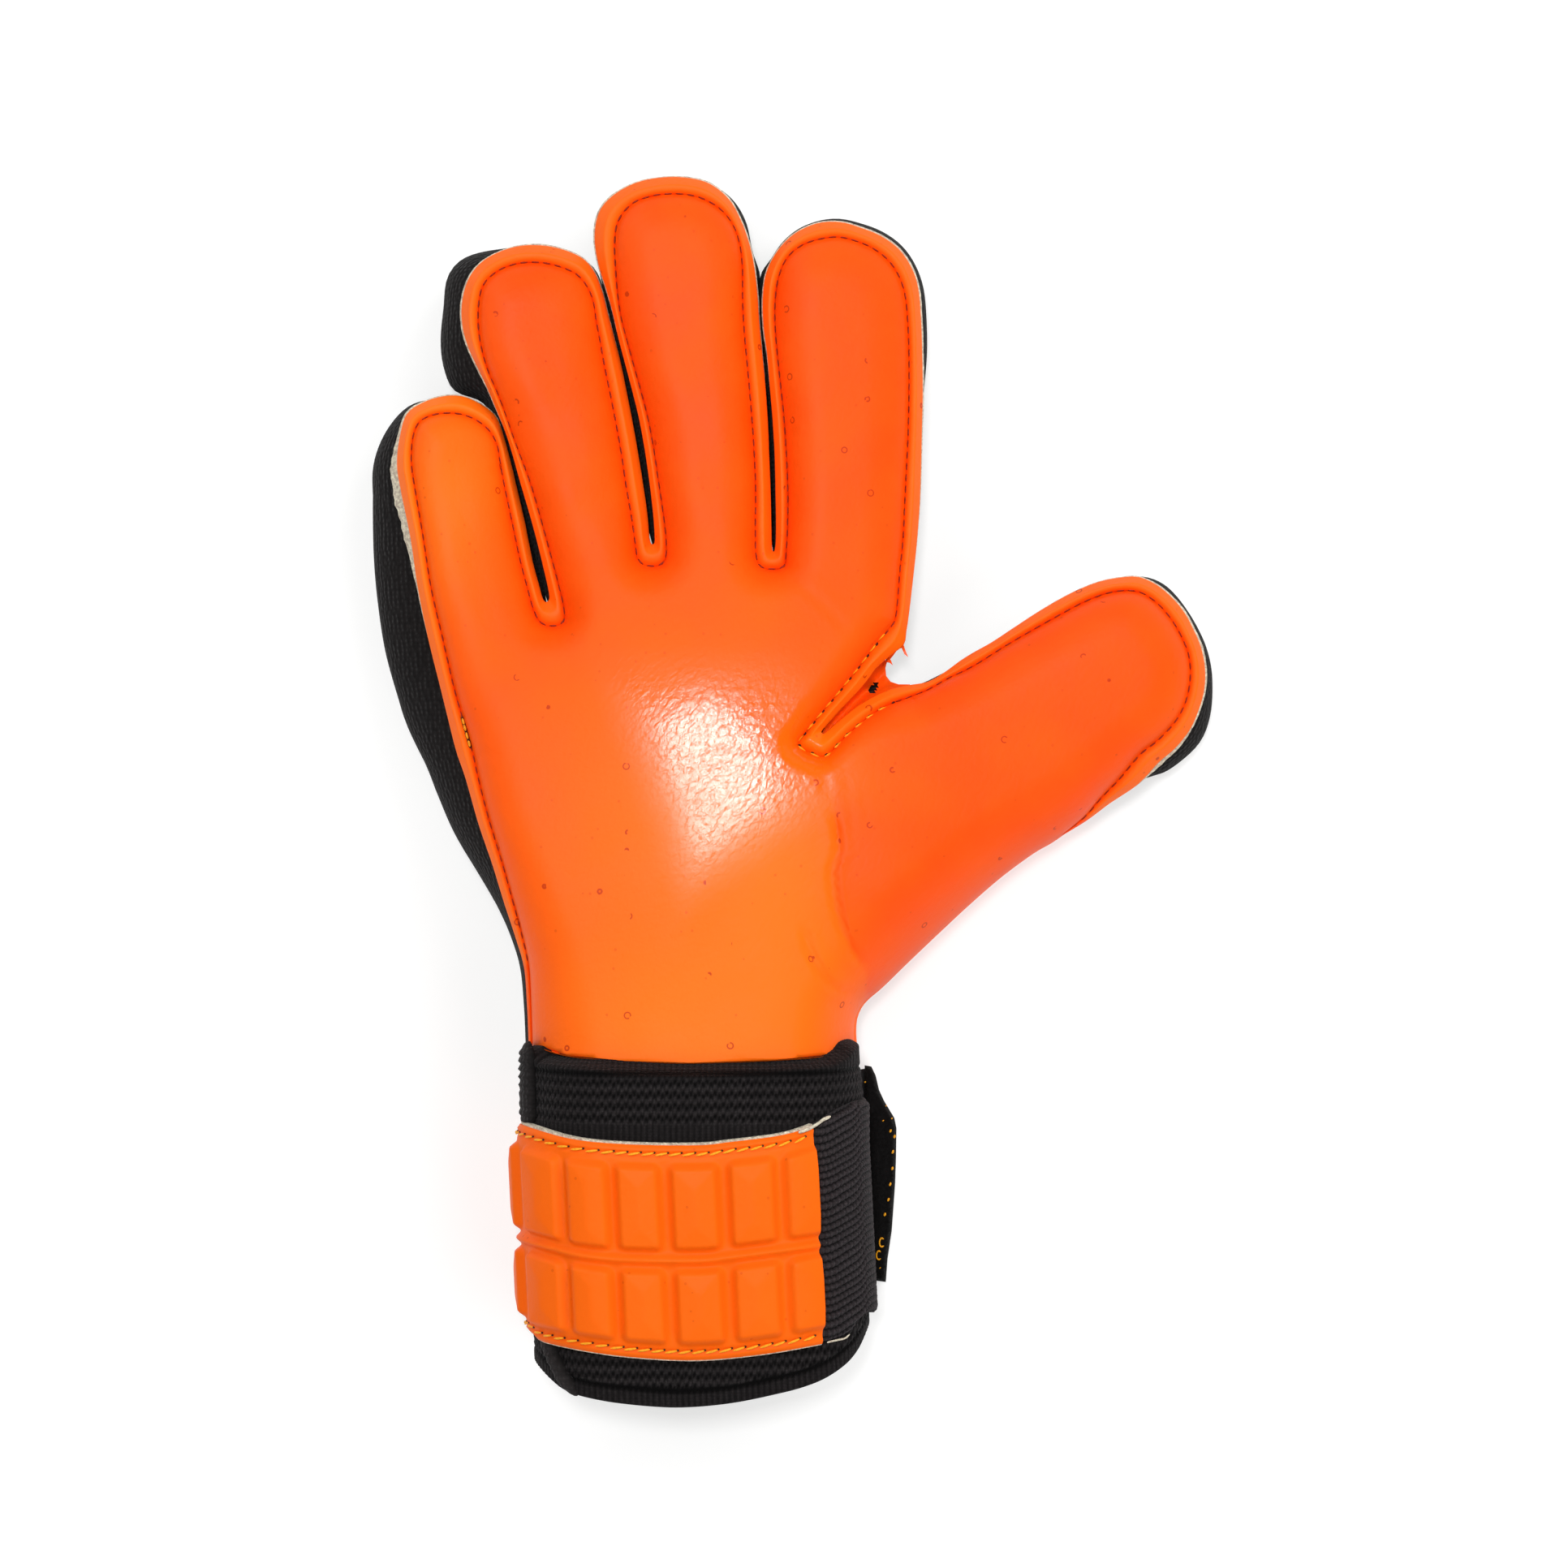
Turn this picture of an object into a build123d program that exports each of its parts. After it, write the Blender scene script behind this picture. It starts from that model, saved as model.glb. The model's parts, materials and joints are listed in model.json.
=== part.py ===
from build123d import *

import os
from dataclasses import dataclass
from math import radians, tan

# A right-hand goalkeeper glove, lying on its back with the catching side up.
# +X points to the thumb side, +Y to the fingertips and +Z out of the palm. Millimetres.
# The catching side is latex foam sheet, the sides of the digits are knitted gussets and the
# back is a padded knit. A knitted cuff with a hook-and-loop strap closes the wrist.

# ---- sheet thicknesses ----
LATEX = 4.0            # latex foam with its textile backing
BACK = 3.0             # padded knit of the backhand
GUSSET = 1.6           # knit of the gussets
RIM = 4.0              # seam allowance of the latex outside the stitching

# ---- heights ----
FRONT = 27.0           # top face of the latex on the digits
FOLD_Z = 15.5          # height of the digits' fold axes, at mid depth
TALL = 80.0            # taller than anything in the glove
FAR = 250.0            # further out than anything in the glove
# Top face of the latex along the palm, and along the thumb in the thumb's own frame: (Y, Z).
PALM_CROWN = [(-90.0, 38.0), (-35.0, 40.0), (0.0, 38.0), (38.0, FRONT), (100.0, FRONT)]
THUMB_CROWN = [(-60.0, 40.0), (-22.0, 38.0), (28.0, FRONT), (100.0, FRONT)]
FLAT_CROWN = [(-60.0, FRONT), (100.0, FRONT)]

# ---- fold clearances ----
GAP = 0.3              # half the slit between two bodies
NOTCH_EASE = 2.0       # degrees of room left at the end of a bend

# ---- how the sheets of a digit end ----
STUB = -8.0            # how far a finger's sheets run back under the palm's
THUMB_STUB = -45.0     # the same for the thumb, as far as the heel of the palm
BACK_END = -3.0        # the back's tip, measured from the latex's
FOOT_END = -3.5        # the foot of the gusset's tip, measured the same way
FOOT_INSET = 0.5       # how far the gusset's foot stands in from the edge of the back


@dataclass
class Digit:
    """One finger or the thumb, in its own frame: +Y along it, +X to its right, back at Z 0."""

    name: str
    base: tuple          # where its centreline leaves the palm
    lean: float          # degrees that it leans to the left of +Y
    length: float        # palm to tip of the latex
    palm_sides: tuple    # X of the left and right edges of the latex at the palm
    tip_sides: tuple     # the same where the tip starts to round
    folds: tuple         # distances of the two fold axes from the palm
    bends: tuple         # degrees that each fold closes
    base_back: tuple     # how far the back stands out past the latex, left and right
    tip_back: tuple      # the same for the part past the middle fold
    starts: tuple        # where the left and right gussets begin


FINGERS = [
    Digit("little", (-67.2, 36.5), 12.5, 54.5, (-12.7, 12.5), (-13.5, 9.4), (11.0, 31.5),
          (60, 60), (7.0, -4.0), (7.0, -4.0), (-4.0, 4.4)),
    Digit("ring", (-43.7, 48.2), 11.5, 77.5, (-12.0, 11.2), (-16.9, 12.8), (13.0, 45.0),
          (65, 75), (-4.0, -4.0), (3.5, -4.0), (-2.2, 6.0)),
    Digit("middle", (-18.2, 52.2), 6.9, 88.5, (-12.4, 13.4), (-15.4, 16.2), (14.0, 50.0),
          (65, 75), (-4.0, -4.0), (-4.0, -4.0), (6.2, 1.6)),
    Digit("index", (12.2, 51.4), 0.5, 78.0, (-15.8, 16.0), (-17.7, 18.2), (13.0, 46.0),
          (65, 75), (-4.0, 0.5), (-4.0, 0.5), (4.2, -3.0)),
]
THUMB = Digit("thumb", (24.0, -8.4), -57.4, 82.0, (-23.5, 24.5), (-24.0, 20.5), (0.0, 39.0),
              (45, 60), (-4.0, 0.0), (-4.0, 2.0), (-60.0, -60.0))
THUMB_SEAM_END = 62.0            # where the latex stops wrapping the thumb's lower side

# ---- thumb fold: it swings about a line that runs from the web to the heel of the palm ----
THUMB_FOLD_POINT = (20.4, -19.4)
THUMB_FOLD_LEAN = -83.5          # degrees that the thumb side of the fold leans from +Y
THUMB_FOLD_TOP = 9.0             # Y at which the fold ends in the web

# ---- palm and backhand, in plan ----
PALM_PLAN = [
    (-58.8, -54.0), (-59.2, -42.0), (-67.0, -16.0), (-72.5, 8.0), (-80.5, 34.0),
    (-56.5, 38.0), (-54.0, 42.0), (-52.5, 46.5), (-31.0, 50.5), (-4.5, 51.0),
    (28.0, 50.5), (25.5, 32.0), (19.9, 26.6), (3.0, 10.6), (11.0, -50.0), (11.8, -54.0),
]
BACK_PLAN = [
    (-59.5, -54.8), (-64.0, -36.0), (-75.0, -10.0), (-83.0, 10.0), (-85.5, 32.0),
    (-58.5, 39.0), (-55.0, 45.0), (-35.0, 50.0), (-7.0, 50.8), (24.0, 50.5), (28.0, 45.0),
    (25.0, 31.0), (15.3, 22.0), (22.3, -40.0), (15.2, -47.0), (14.0, -54.8),
]
# The slanted side walls, as matching points at the back (foot) and at the latex (seam).
ULNAR_FOOT = [(-59.0, -54.8), (-63.5, -36.0), (-74.5, -10.0), (-82.5, 10.0), (-85.4, 32.4)]
ULNAR_SEAM = [(-54.8, -54.8), (-55.6, -42.0), (-63.0, -16.0), (-68.3, 8.0), (-75.8, 34.6)]
RADIAL_FOOT = [(28.0, 48.0), (24.8, 32.0), (21.0, 27.0)]
RADIAL_SEAM = [(24.0, 48.0), (21.5, 34.0), (17.0, 27.0)]
HEEL_SIDE = [(22.6, -40.6), (15.5, -47.6), (14.2, -53.5)]
WEB_PLAN = [(19.0, 22.2), (31.0, 28.2), (32.0, 26.4), (20.2, 20.4)]
WEB_HEIGHTS = (4.0, 20.0)

# ---- wrist and cuff ----
WRIST_Y = -60.0
WRIST_Z = 22.0
WRIST_BENDS = (35, 20)           # degrees towards the palm and towards the back
CUFF_CENTRE = (-22.4, 24.6)      # X, Z
CUFF_SIZE = (76.0, 40.0)
CUFF_CORNER = 19.0
CUFF_WALL = 2.5                  # doubled knit
CUFF_END = -140.0
CUFF_FOOT_CORNER = 14.0          # rounding of the cuff's end, in plan
BAND_FROM = -75.0                # the smooth band next to the palm
HEM_TO = -130.0
BINDING = 1.6                    # how far it stands out from the cuff
BINDING_Z = (30.0, 38.0)
BINDING_SPANS = [(-76.0, -60.6), (-135.5, -126.0)]
TOP_BAND_REACH = 8.0             # how far the top band would run past the wrist's axis
WRIST_FOLD_REACH = (-8.0, 5.0)   # Y from the wrist's axis

# ---- strap ----
STRAP = (-124.5, -77.0)          # Y
STRAP_WEB = 1.5                  # woven band under the moulded pad
PAD_SHEET = 1.5
PAD_BLOCK = 1.5                  # how far the blocks stand up from the sheet
PAD_SINK = 0.4                   # how far the blocks sink into the sheet
PAD_ROWS = [(-120.5, -107.5), (-103.5, -81.5)]
PAD_PITCH = 12.8
PAD_BLOCK_WIDTH = 10.2
PAD_COLUMNS = 5
PAD_MARGIN = 2.0                 # between the last block and the pad's end
PAD_BEAD = (-106.4, -104.6)      # the raised line between the rows
PAD_BEAD_SHARE = 0.7             # its height as a share of a block's
STRAP_SPLIT_X = 5.3              # where the pad meets the ribbed elastic
STRAP_FOOT_Z = 8.0
ELASTIC = 2.5
ELASTIC_FOOT_Z = 6.0

# ---- closing flap, under the cuff ----
FLAP_HINGE = (-62.5, 3.5)        # X, Z
FLAP_BAND = (0.0, 2.0)           # Z
FLAP_PLAN = [(-60.0, -77.0), (17.0, -65.0), (17.0, -115.0), (-60.0, -127.0)]
HOOK_PLAN = [(-27.0, -77.0), (8.0, -72.0), (8.0, -112.0), (-27.0, -118.0)]
HOOK = (2.0, 3.1)                # Z
LOOP_PLAN = [(-40.0, -120.0), (-5.0, -120.0), (-5.0, -80.0), (-40.0, -80.0)]
LOOP = (3.4, 4.6)                # Z
TAB_PLAN = [(17.3, -64.8), (19.0, -65.0), (24.5, -79.6), (23.7, -100.2), (22.0, -115.5),
            (17.3, -115.0)]
TAB = (0.0, 3.0)                 # Z


# ---------------------------------------------------------------- helpers
def plate(points, low, high):
    """A flat sheet of the given plan between two heights."""
    return Pos(0, 0, low) * extrude(make_face(Polyline(*points, close=True)), amount=high - low)


def along_x(points):
    """A prism along X with the given (Y, Z) outline."""
    return extrude(Plane.YZ * make_face(Polyline(*points, close=True)), amount=FAR, both=True)


def before(fold, front, back=0.0, axis_z=FOLD_Z, clear=0.0):
    """Everything on the near side of a fold that stays clear while the fold closes."""
    low = fold - GAP - clear - (axis_z + 1) * tan(radians(back))
    high = fold - GAP - clear - (TALL - axis_z) * tan(radians(front))
    return along_x([(-FAR, -1), (low, -1), (fold - GAP - clear, axis_z), (high, TALL), (-FAR, TALL)])


def after(fold, front, back=0.0, axis_z=FOLD_Z, clear=0.0):
    """Everything on the far side of a fold that stays clear while the fold closes."""
    return mirror(before(-fold, front, back, axis_z, clear), Plane.XZ)


def within(fold, front, back=0.0, axis_z=FOLD_Z):
    """The wedge that a fold closes, less the room it needs at rest."""
    ease = -2 * GAP
    low = -1 if back else axis_z
    wedge = along_x([(-FAR, low), (FAR, low), (FAR, TALL), (-FAR, TALL)])
    return wedge - before(fold, front, back, axis_z, ease) - after(fold, front, back, axis_z, ease)


def half_angle(bend):
    """The slope of each side of the notch that lets a fold close by the given angle."""
    return bend / 2 + NOTCH_EASE


def under(crown, sheet, low=0.0):
    """The space below a sheet whose top face follows the crown."""
    return along_x([(crown[0][0], low)] + [(y, z - sheet) for y, z in crown] + [(crown[-1][0], low)])


def band(crown, sheet):
    """The layer that a sheet with the given top face fills."""
    return along_x(list(crown) + [(y, z - sheet) for y, z in reversed(crown)])


def digit_face(digit, left_out, right_out, end_out, start):
    """The plan of a digit: tapering sides and a round tip, moved out by the given amounts."""
    left, right = digit.tip_sides[0] - left_out, digit.tip_sides[1] + right_out
    end = digit.length + end_out
    shoulder = end - (right - left) / 2
    stretch = (shoulder - start) / shoulder
    near_left = left + (digit.palm_sides[0] - left_out - left) * stretch
    near_right = right + (digit.palm_sides[1] + right_out - right) * stretch
    return make_face([
        Line((near_left, start), (left, shoulder)),
        ThreePointArc((left, shoulder), ((left + right) / 2, end), (right, shoulder)),
        Line((right, shoulder), (near_right, start)),
        Line((near_right, start), (near_left, start)),
    ])


def digit_gusset(digit, outs, crown, start):
    """The side strip of a whole digit, running up one side, round the tip and down the other."""
    shells = []
    for inset in (0, GUSSET):
        left_out, right_out = (out - FOOT_INSET - inset for out in outs)
        foot = digit_face(digit, left_out, right_out, FOOT_END - inset, start)
        seam = digit_face(digit, -RIM - inset, -RIM - inset, -RIM - inset, start)
        skirt = loft([Pos(0, 0, BACK) * foot, Pos(0, 0, FRONT - LATEX) * seam], ruled=True)
        collar = Pos(0, 0, FRONT - LATEX) * extrude(seam, amount=TALL)
        shells.append(skirt + collar)
    return (shells[0] - shells[1]) & under(crown, LATEX)


def place(digit, shape):
    """Carries a shape from the digit's own frame to the glove's."""
    return Location((digit.base[0], digit.base[1], 0), (0, 0, digit.lean)) * shape


def at_thumb_fold(shape):
    """Carries a shape from the frame of the thumb's base fold to the glove's."""
    return Location((*THUMB_FOLD_POINT, 0), (0, 0, THUMB_FOLD_LEAN)) * shape


def right_of(x):
    """Everything at a larger X."""
    return Pos(x + FAR / 2, 0, 0) * Box(FAR, 2 * FAR, 2 * FAR)


def above(y):
    """Everything at a larger Y."""
    return Pos(0, y + FAR / 2, 0) * Box(2 * FAR, FAR, 2 * FAR)


def slanted_wall(foot, seam, inward):
    """A wall between matching points at the back and at the height of the palm's latex."""
    def strip(points):
        return make_face(Polyline(*points, *[(x + inward, y) for x, y in reversed(points)],
                                  close=True))
    wall = loft([Pos(0, 0, BACK) * strip(foot), Pos(0, 0, TALL / 2) * strip(seam)], ruled=True)
    return wall & under(PALM_CROWN, LATEX)


def ring(inside, outside, low, high):
    """A stretch of tube that follows the cuff's section, between two distances from its surface."""
    section = Plane(origin=(CUFF_CENTRE[0], high, CUFF_CENTRE[1]), x_dir=(1, 0, 0),
                    z_dir=(0, -1, 0))
    outer, inner = (RectangleRounded(CUFF_SIZE[0] + 2 * d, CUFF_SIZE[1] + 2 * d, CUFF_CORNER + d)
                    for d in (outside, inside))
    return extrude(section * (outer - inner), amount=high - low)


def box_between(low, high):
    centre = [(a + b) / 2 for a, b in zip(low, high)]
    return Pos(*centre) * Box(*[b - a for a, b in zip(low, high)])


def save(node, *shapes):
    """Writes one node's separate solids to parts/NODE.step."""
    solids = [s for shape in shapes for s in shape.solids() if s.volume > 0.5]
    whole = Compound(children=solids) if len(solids) > 1 else solids[0]
    export_step(whole, f"parts/{node}.step")


# ---------------------------------------------------------------- fingers
def make_finger(digit):
    """Writes a finger's moving parts. Returns what stays on the palm and its base fold."""
    lower, upper = digit.folds
    low_slope, high_slope = (half_angle(bend) for bend in digit.bends)
    latex = extrude(digit_face(digit, 0, 0, 0, STUB), amount=TALL) & band(FLAT_CROWN, LATEX)
    for part, outs in (("base", digit.base_back), ("tip", digit.tip_back)):
        gusset = digit_gusset(digit, outs, FLAT_CROWN, STUB)
        back = extrude(digit_face(digit, *outs, BACK_END, STUB), amount=BACK)
        zone = after(upper, high_slope)
        if part == "base":
            zone = after(lower, low_slope) & before(upper, high_slope)
            stubs = [piece & before(lower, low_slope) for piece in (latex, back, gusset)]
        save(f"{digit.name}_{part}_latex", place(digit, latex & zone))
        save(f"{digit.name}_{part}_back", place(digit, back & zone))
        save(f"{digit.name}_{part}_gusset", place(digit, gusset & zone))
    save(f"{digit.name}_middle_fold", place(digit, latex & within(upper, high_slope)))
    left_stub = (stubs[2] - right_of(0)) & above(digit.starts[0])
    right_stub = stubs[2] & right_of(0) & above(digit.starts[1])
    base_fold = place(digit, latex & within(lower, low_slope))
    return [place(digit, s) for s in (stubs[0], stubs[1], left_stub, right_stub)], base_fold


# ---------------------------------------------------------------- thumb
def make_thumb():
    """Writes the thumb's moving parts and both its folds."""
    digit = THUMB
    upper, high_slope = digit.folds[1], half_angle(digit.bends[1])
    low_slope = half_angle(digit.bends[0])
    past_fold = at_thumb_fold(after(0, low_slope))
    plan = digit_face(digit, 0, 0, 0, THUMB_STUB)
    front = extrude(plan, amount=TALL) & band(THUMB_CROWN, LATEX)
    for part, outs in (("base", digit.base_back), ("tip", digit.tip_back)):
        side = digit_gusset(digit, outs, THUMB_CROWN, THUMB_STUB)
        wrapped = (side & right_of(0)) - above(THUMB_SEAM_END)
        gusset = side - wrapped
        back = extrude(digit_face(digit, *outs, BACK_END, THUMB_STUB), amount=BACK)
        zone = after(upper, high_slope) if part == "tip" else before(upper, high_slope)
        pieces = [place(digit, piece & zone) for piece in (front + wrapped, back, gusset)]
        if part == "base":
            pieces = [piece & past_fold for piece in pieces]
        for material, piece in zip(("latex", "back", "gusset"), pieces):
            save(f"thumb_{part}_{material}", piece)
    save("thumb_middle_fold", place(digit, front & within(upper, high_slope)))
    web = at_thumb_fold(within(0, low_slope)) - plate(PALM_PLAN, 0, TALL) - above(THUMB_FOLD_TOP)
    heel = slanted_wall(HEEL_SIDE, HEEL_SIDE, -GUSSET)
    save("thumb_base_fold", place(digit, front) & web - heel)


# ---------------------------------------------------------------- palm and backhand
def make_hand(stubs):
    """Writes the parts of the hand, joined to the stubs of the four fingers."""
    palm = plate(PALM_PLAN, 0, TALL) & band(PALM_CROWN, LATEX)
    heel = slanted_wall(HEEL_SIDE, HEEL_SIDE, -GUSSET)
    for stub in stubs:
        palm += stub[0]
    save("palm_latex", palm + heel)
    back = plate(BACK_PLAN, 0, BACK)
    for stub in stubs:
        back += stub[1]
    save("backhand_panel", back)
    little, ring_finger, middle, index = stubs
    save("ulnar_gusset", slanted_wall(ULNAR_FOOT, ULNAR_SEAM, GUSSET) - little[2] - palm, little[2])
    save("radial_gusset", slanted_wall(RADIAL_FOOT, RADIAL_SEAM, -GUSSET) - index[3], index[3])
    save("finger_web_gussets", little[3], ring_finger[2], ring_finger[3], middle[2], middle[3],
         index[2])
    save("thumb_web_gusset", plate(WEB_PLAN, *WEB_HEIGHTS))


# ---------------------------------------------------------------- cuff and strap
def make_cuff():
    """Writes the knitted cuff, with its binding, and the fold between it and the hand."""
    front, back = (bend / 2 + 1.0 for bend in WRIST_BENDS)
    foot = Pos(CUFF_CENTRE[0], CUFF_END / 2, 0) * extrude(
        RectangleRounded(CUFF_SIZE[0], -CUFF_END, CUFF_FOOT_CORNER), amount=TALL)
    save("cuff_knit", ring(-CUFF_WALL, 0, HEM_TO, BAND_FROM))
    save("cuff_top_band", ring(-CUFF_WALL, 0, BAND_FROM, WRIST_Y + TOP_BAND_REACH)
         & before(WRIST_Y, front, back, WRIST_Z))
    save("cuff_hem", ring(-CUFF_WALL, 0, CUFF_END, HEM_TO) & foot)
    zone = box_between((-FAR, -FAR, BINDING_Z[0]), (CUFF_CENTRE[0], 0, BINDING_Z[1]))
    save("cuff_edge_binding", *[(ring(0, BINDING, *stretch) & zone)
                                & before(WRIST_Y, front, back, WRIST_Z)
                                for stretch in BINDING_SPANS])
    low, high = (WRIST_Y + reach for reach in WRIST_FOLD_REACH)
    save("wrist_fold", ring(-CUFF_WALL, 0, low, high) & within(WRIST_Y, front, back, WRIST_Z))


def make_strap():
    """Writes the strap across the front and round both sides, and the patch it closes on."""
    left = box_between((-FAR, -FAR, STRAP_FOOT_Z), (STRAP_SPLIT_X, 0, TALL))
    right = box_between((STRAP_SPLIT_X, -FAR, ELASTIC_FOOT_Z), (FAR, 0, TALL))
    save("strap_base_band", ring(0, STRAP_WEB, *STRAP) & left)
    pad = ring(STRAP_WEB, STRAP_WEB + PAD_SHEET, *STRAP) & left
    top = STRAP_WEB + PAD_SHEET
    blocks = []
    for row in PAD_ROWS:
        layer = ring(top - PAD_SINK, top + PAD_BLOCK, *row)
        for column in range(PAD_COLUMNS):
            x = STRAP_SPLIT_X - PAD_MARGIN - column * PAD_PITCH - PAD_BLOCK_WIDTH
            window = box_between((x, -FAR, CUFF_CENTRE[1]), (x + PAD_BLOCK_WIDTH, 0, TALL))
            blocks.append(layer & window)
    blocks.append(ring(top - PAD_SINK, top + PAD_BLOCK * PAD_BEAD_SHARE, *PAD_BEAD) & left)
    for block in blocks:
        pad += block
    save("strap_pad", pad)
    save("strap_elastic", ring(0, ELASTIC, *STRAP) & right)
    save("strap_loop_patch", plate(LOOP_PLAN, *LOOP))


def make_flap():
    """Writes the flap that closes the strap under the back of the wrist."""
    save("flap_band", plate(FLAP_PLAN, *FLAP_BAND))
    save("flap_hook_patch", plate(HOOK_PLAN, *HOOK))
    save("pull_tab", plate(TAB_PLAN, *TAB))


def main():
    os.makedirs("parts", exist_ok=True)
    made = [make_finger(digit) for digit in FINGERS]
    save("finger_base_folds", *[fold for _, fold in made])
    make_thumb()
    make_hand([stubs for stubs, _ in made])
    make_cuff()
    make_strap()
    make_flap()


if __name__ == "__main__":
    main()
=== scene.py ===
import json
import math

import bpy
import numpy as np
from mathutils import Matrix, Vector
from mathutils.geometry import delaunay_2d_cdt


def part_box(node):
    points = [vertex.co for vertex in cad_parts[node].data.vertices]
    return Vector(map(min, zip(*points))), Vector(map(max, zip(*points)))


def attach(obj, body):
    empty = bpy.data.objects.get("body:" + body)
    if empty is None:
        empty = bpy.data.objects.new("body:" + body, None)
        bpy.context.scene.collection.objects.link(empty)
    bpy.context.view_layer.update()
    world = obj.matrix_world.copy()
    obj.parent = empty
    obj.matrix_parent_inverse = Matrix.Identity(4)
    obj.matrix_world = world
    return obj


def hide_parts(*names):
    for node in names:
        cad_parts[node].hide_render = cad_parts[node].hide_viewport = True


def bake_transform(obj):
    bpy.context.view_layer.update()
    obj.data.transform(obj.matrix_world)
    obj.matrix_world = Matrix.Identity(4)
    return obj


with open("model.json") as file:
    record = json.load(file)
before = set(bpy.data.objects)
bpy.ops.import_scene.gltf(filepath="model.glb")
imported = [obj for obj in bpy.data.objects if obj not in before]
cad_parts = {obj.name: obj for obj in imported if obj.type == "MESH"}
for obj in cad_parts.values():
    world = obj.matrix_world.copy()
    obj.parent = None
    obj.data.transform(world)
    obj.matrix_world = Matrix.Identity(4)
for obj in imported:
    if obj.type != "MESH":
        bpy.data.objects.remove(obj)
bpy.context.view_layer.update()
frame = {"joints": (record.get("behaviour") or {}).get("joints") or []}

# A right-hand goalkeeper glove, lying on its back with its catching side up.
# Lengths here are in millimetres: +X to the thumb side, +Y to the fingertips, +Z out of the palm.
MM = 0.001
CAMERA_PLACE, CAMERA_HEIGHT = (-1.76, 1.57), 775.0       # over the table, looking straight down
SEAM_PLANE = 25.0                    # height at which the outlines below were judged
VIEW_WIDTH = 357.806                 # what the camera sees across at that height


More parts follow.
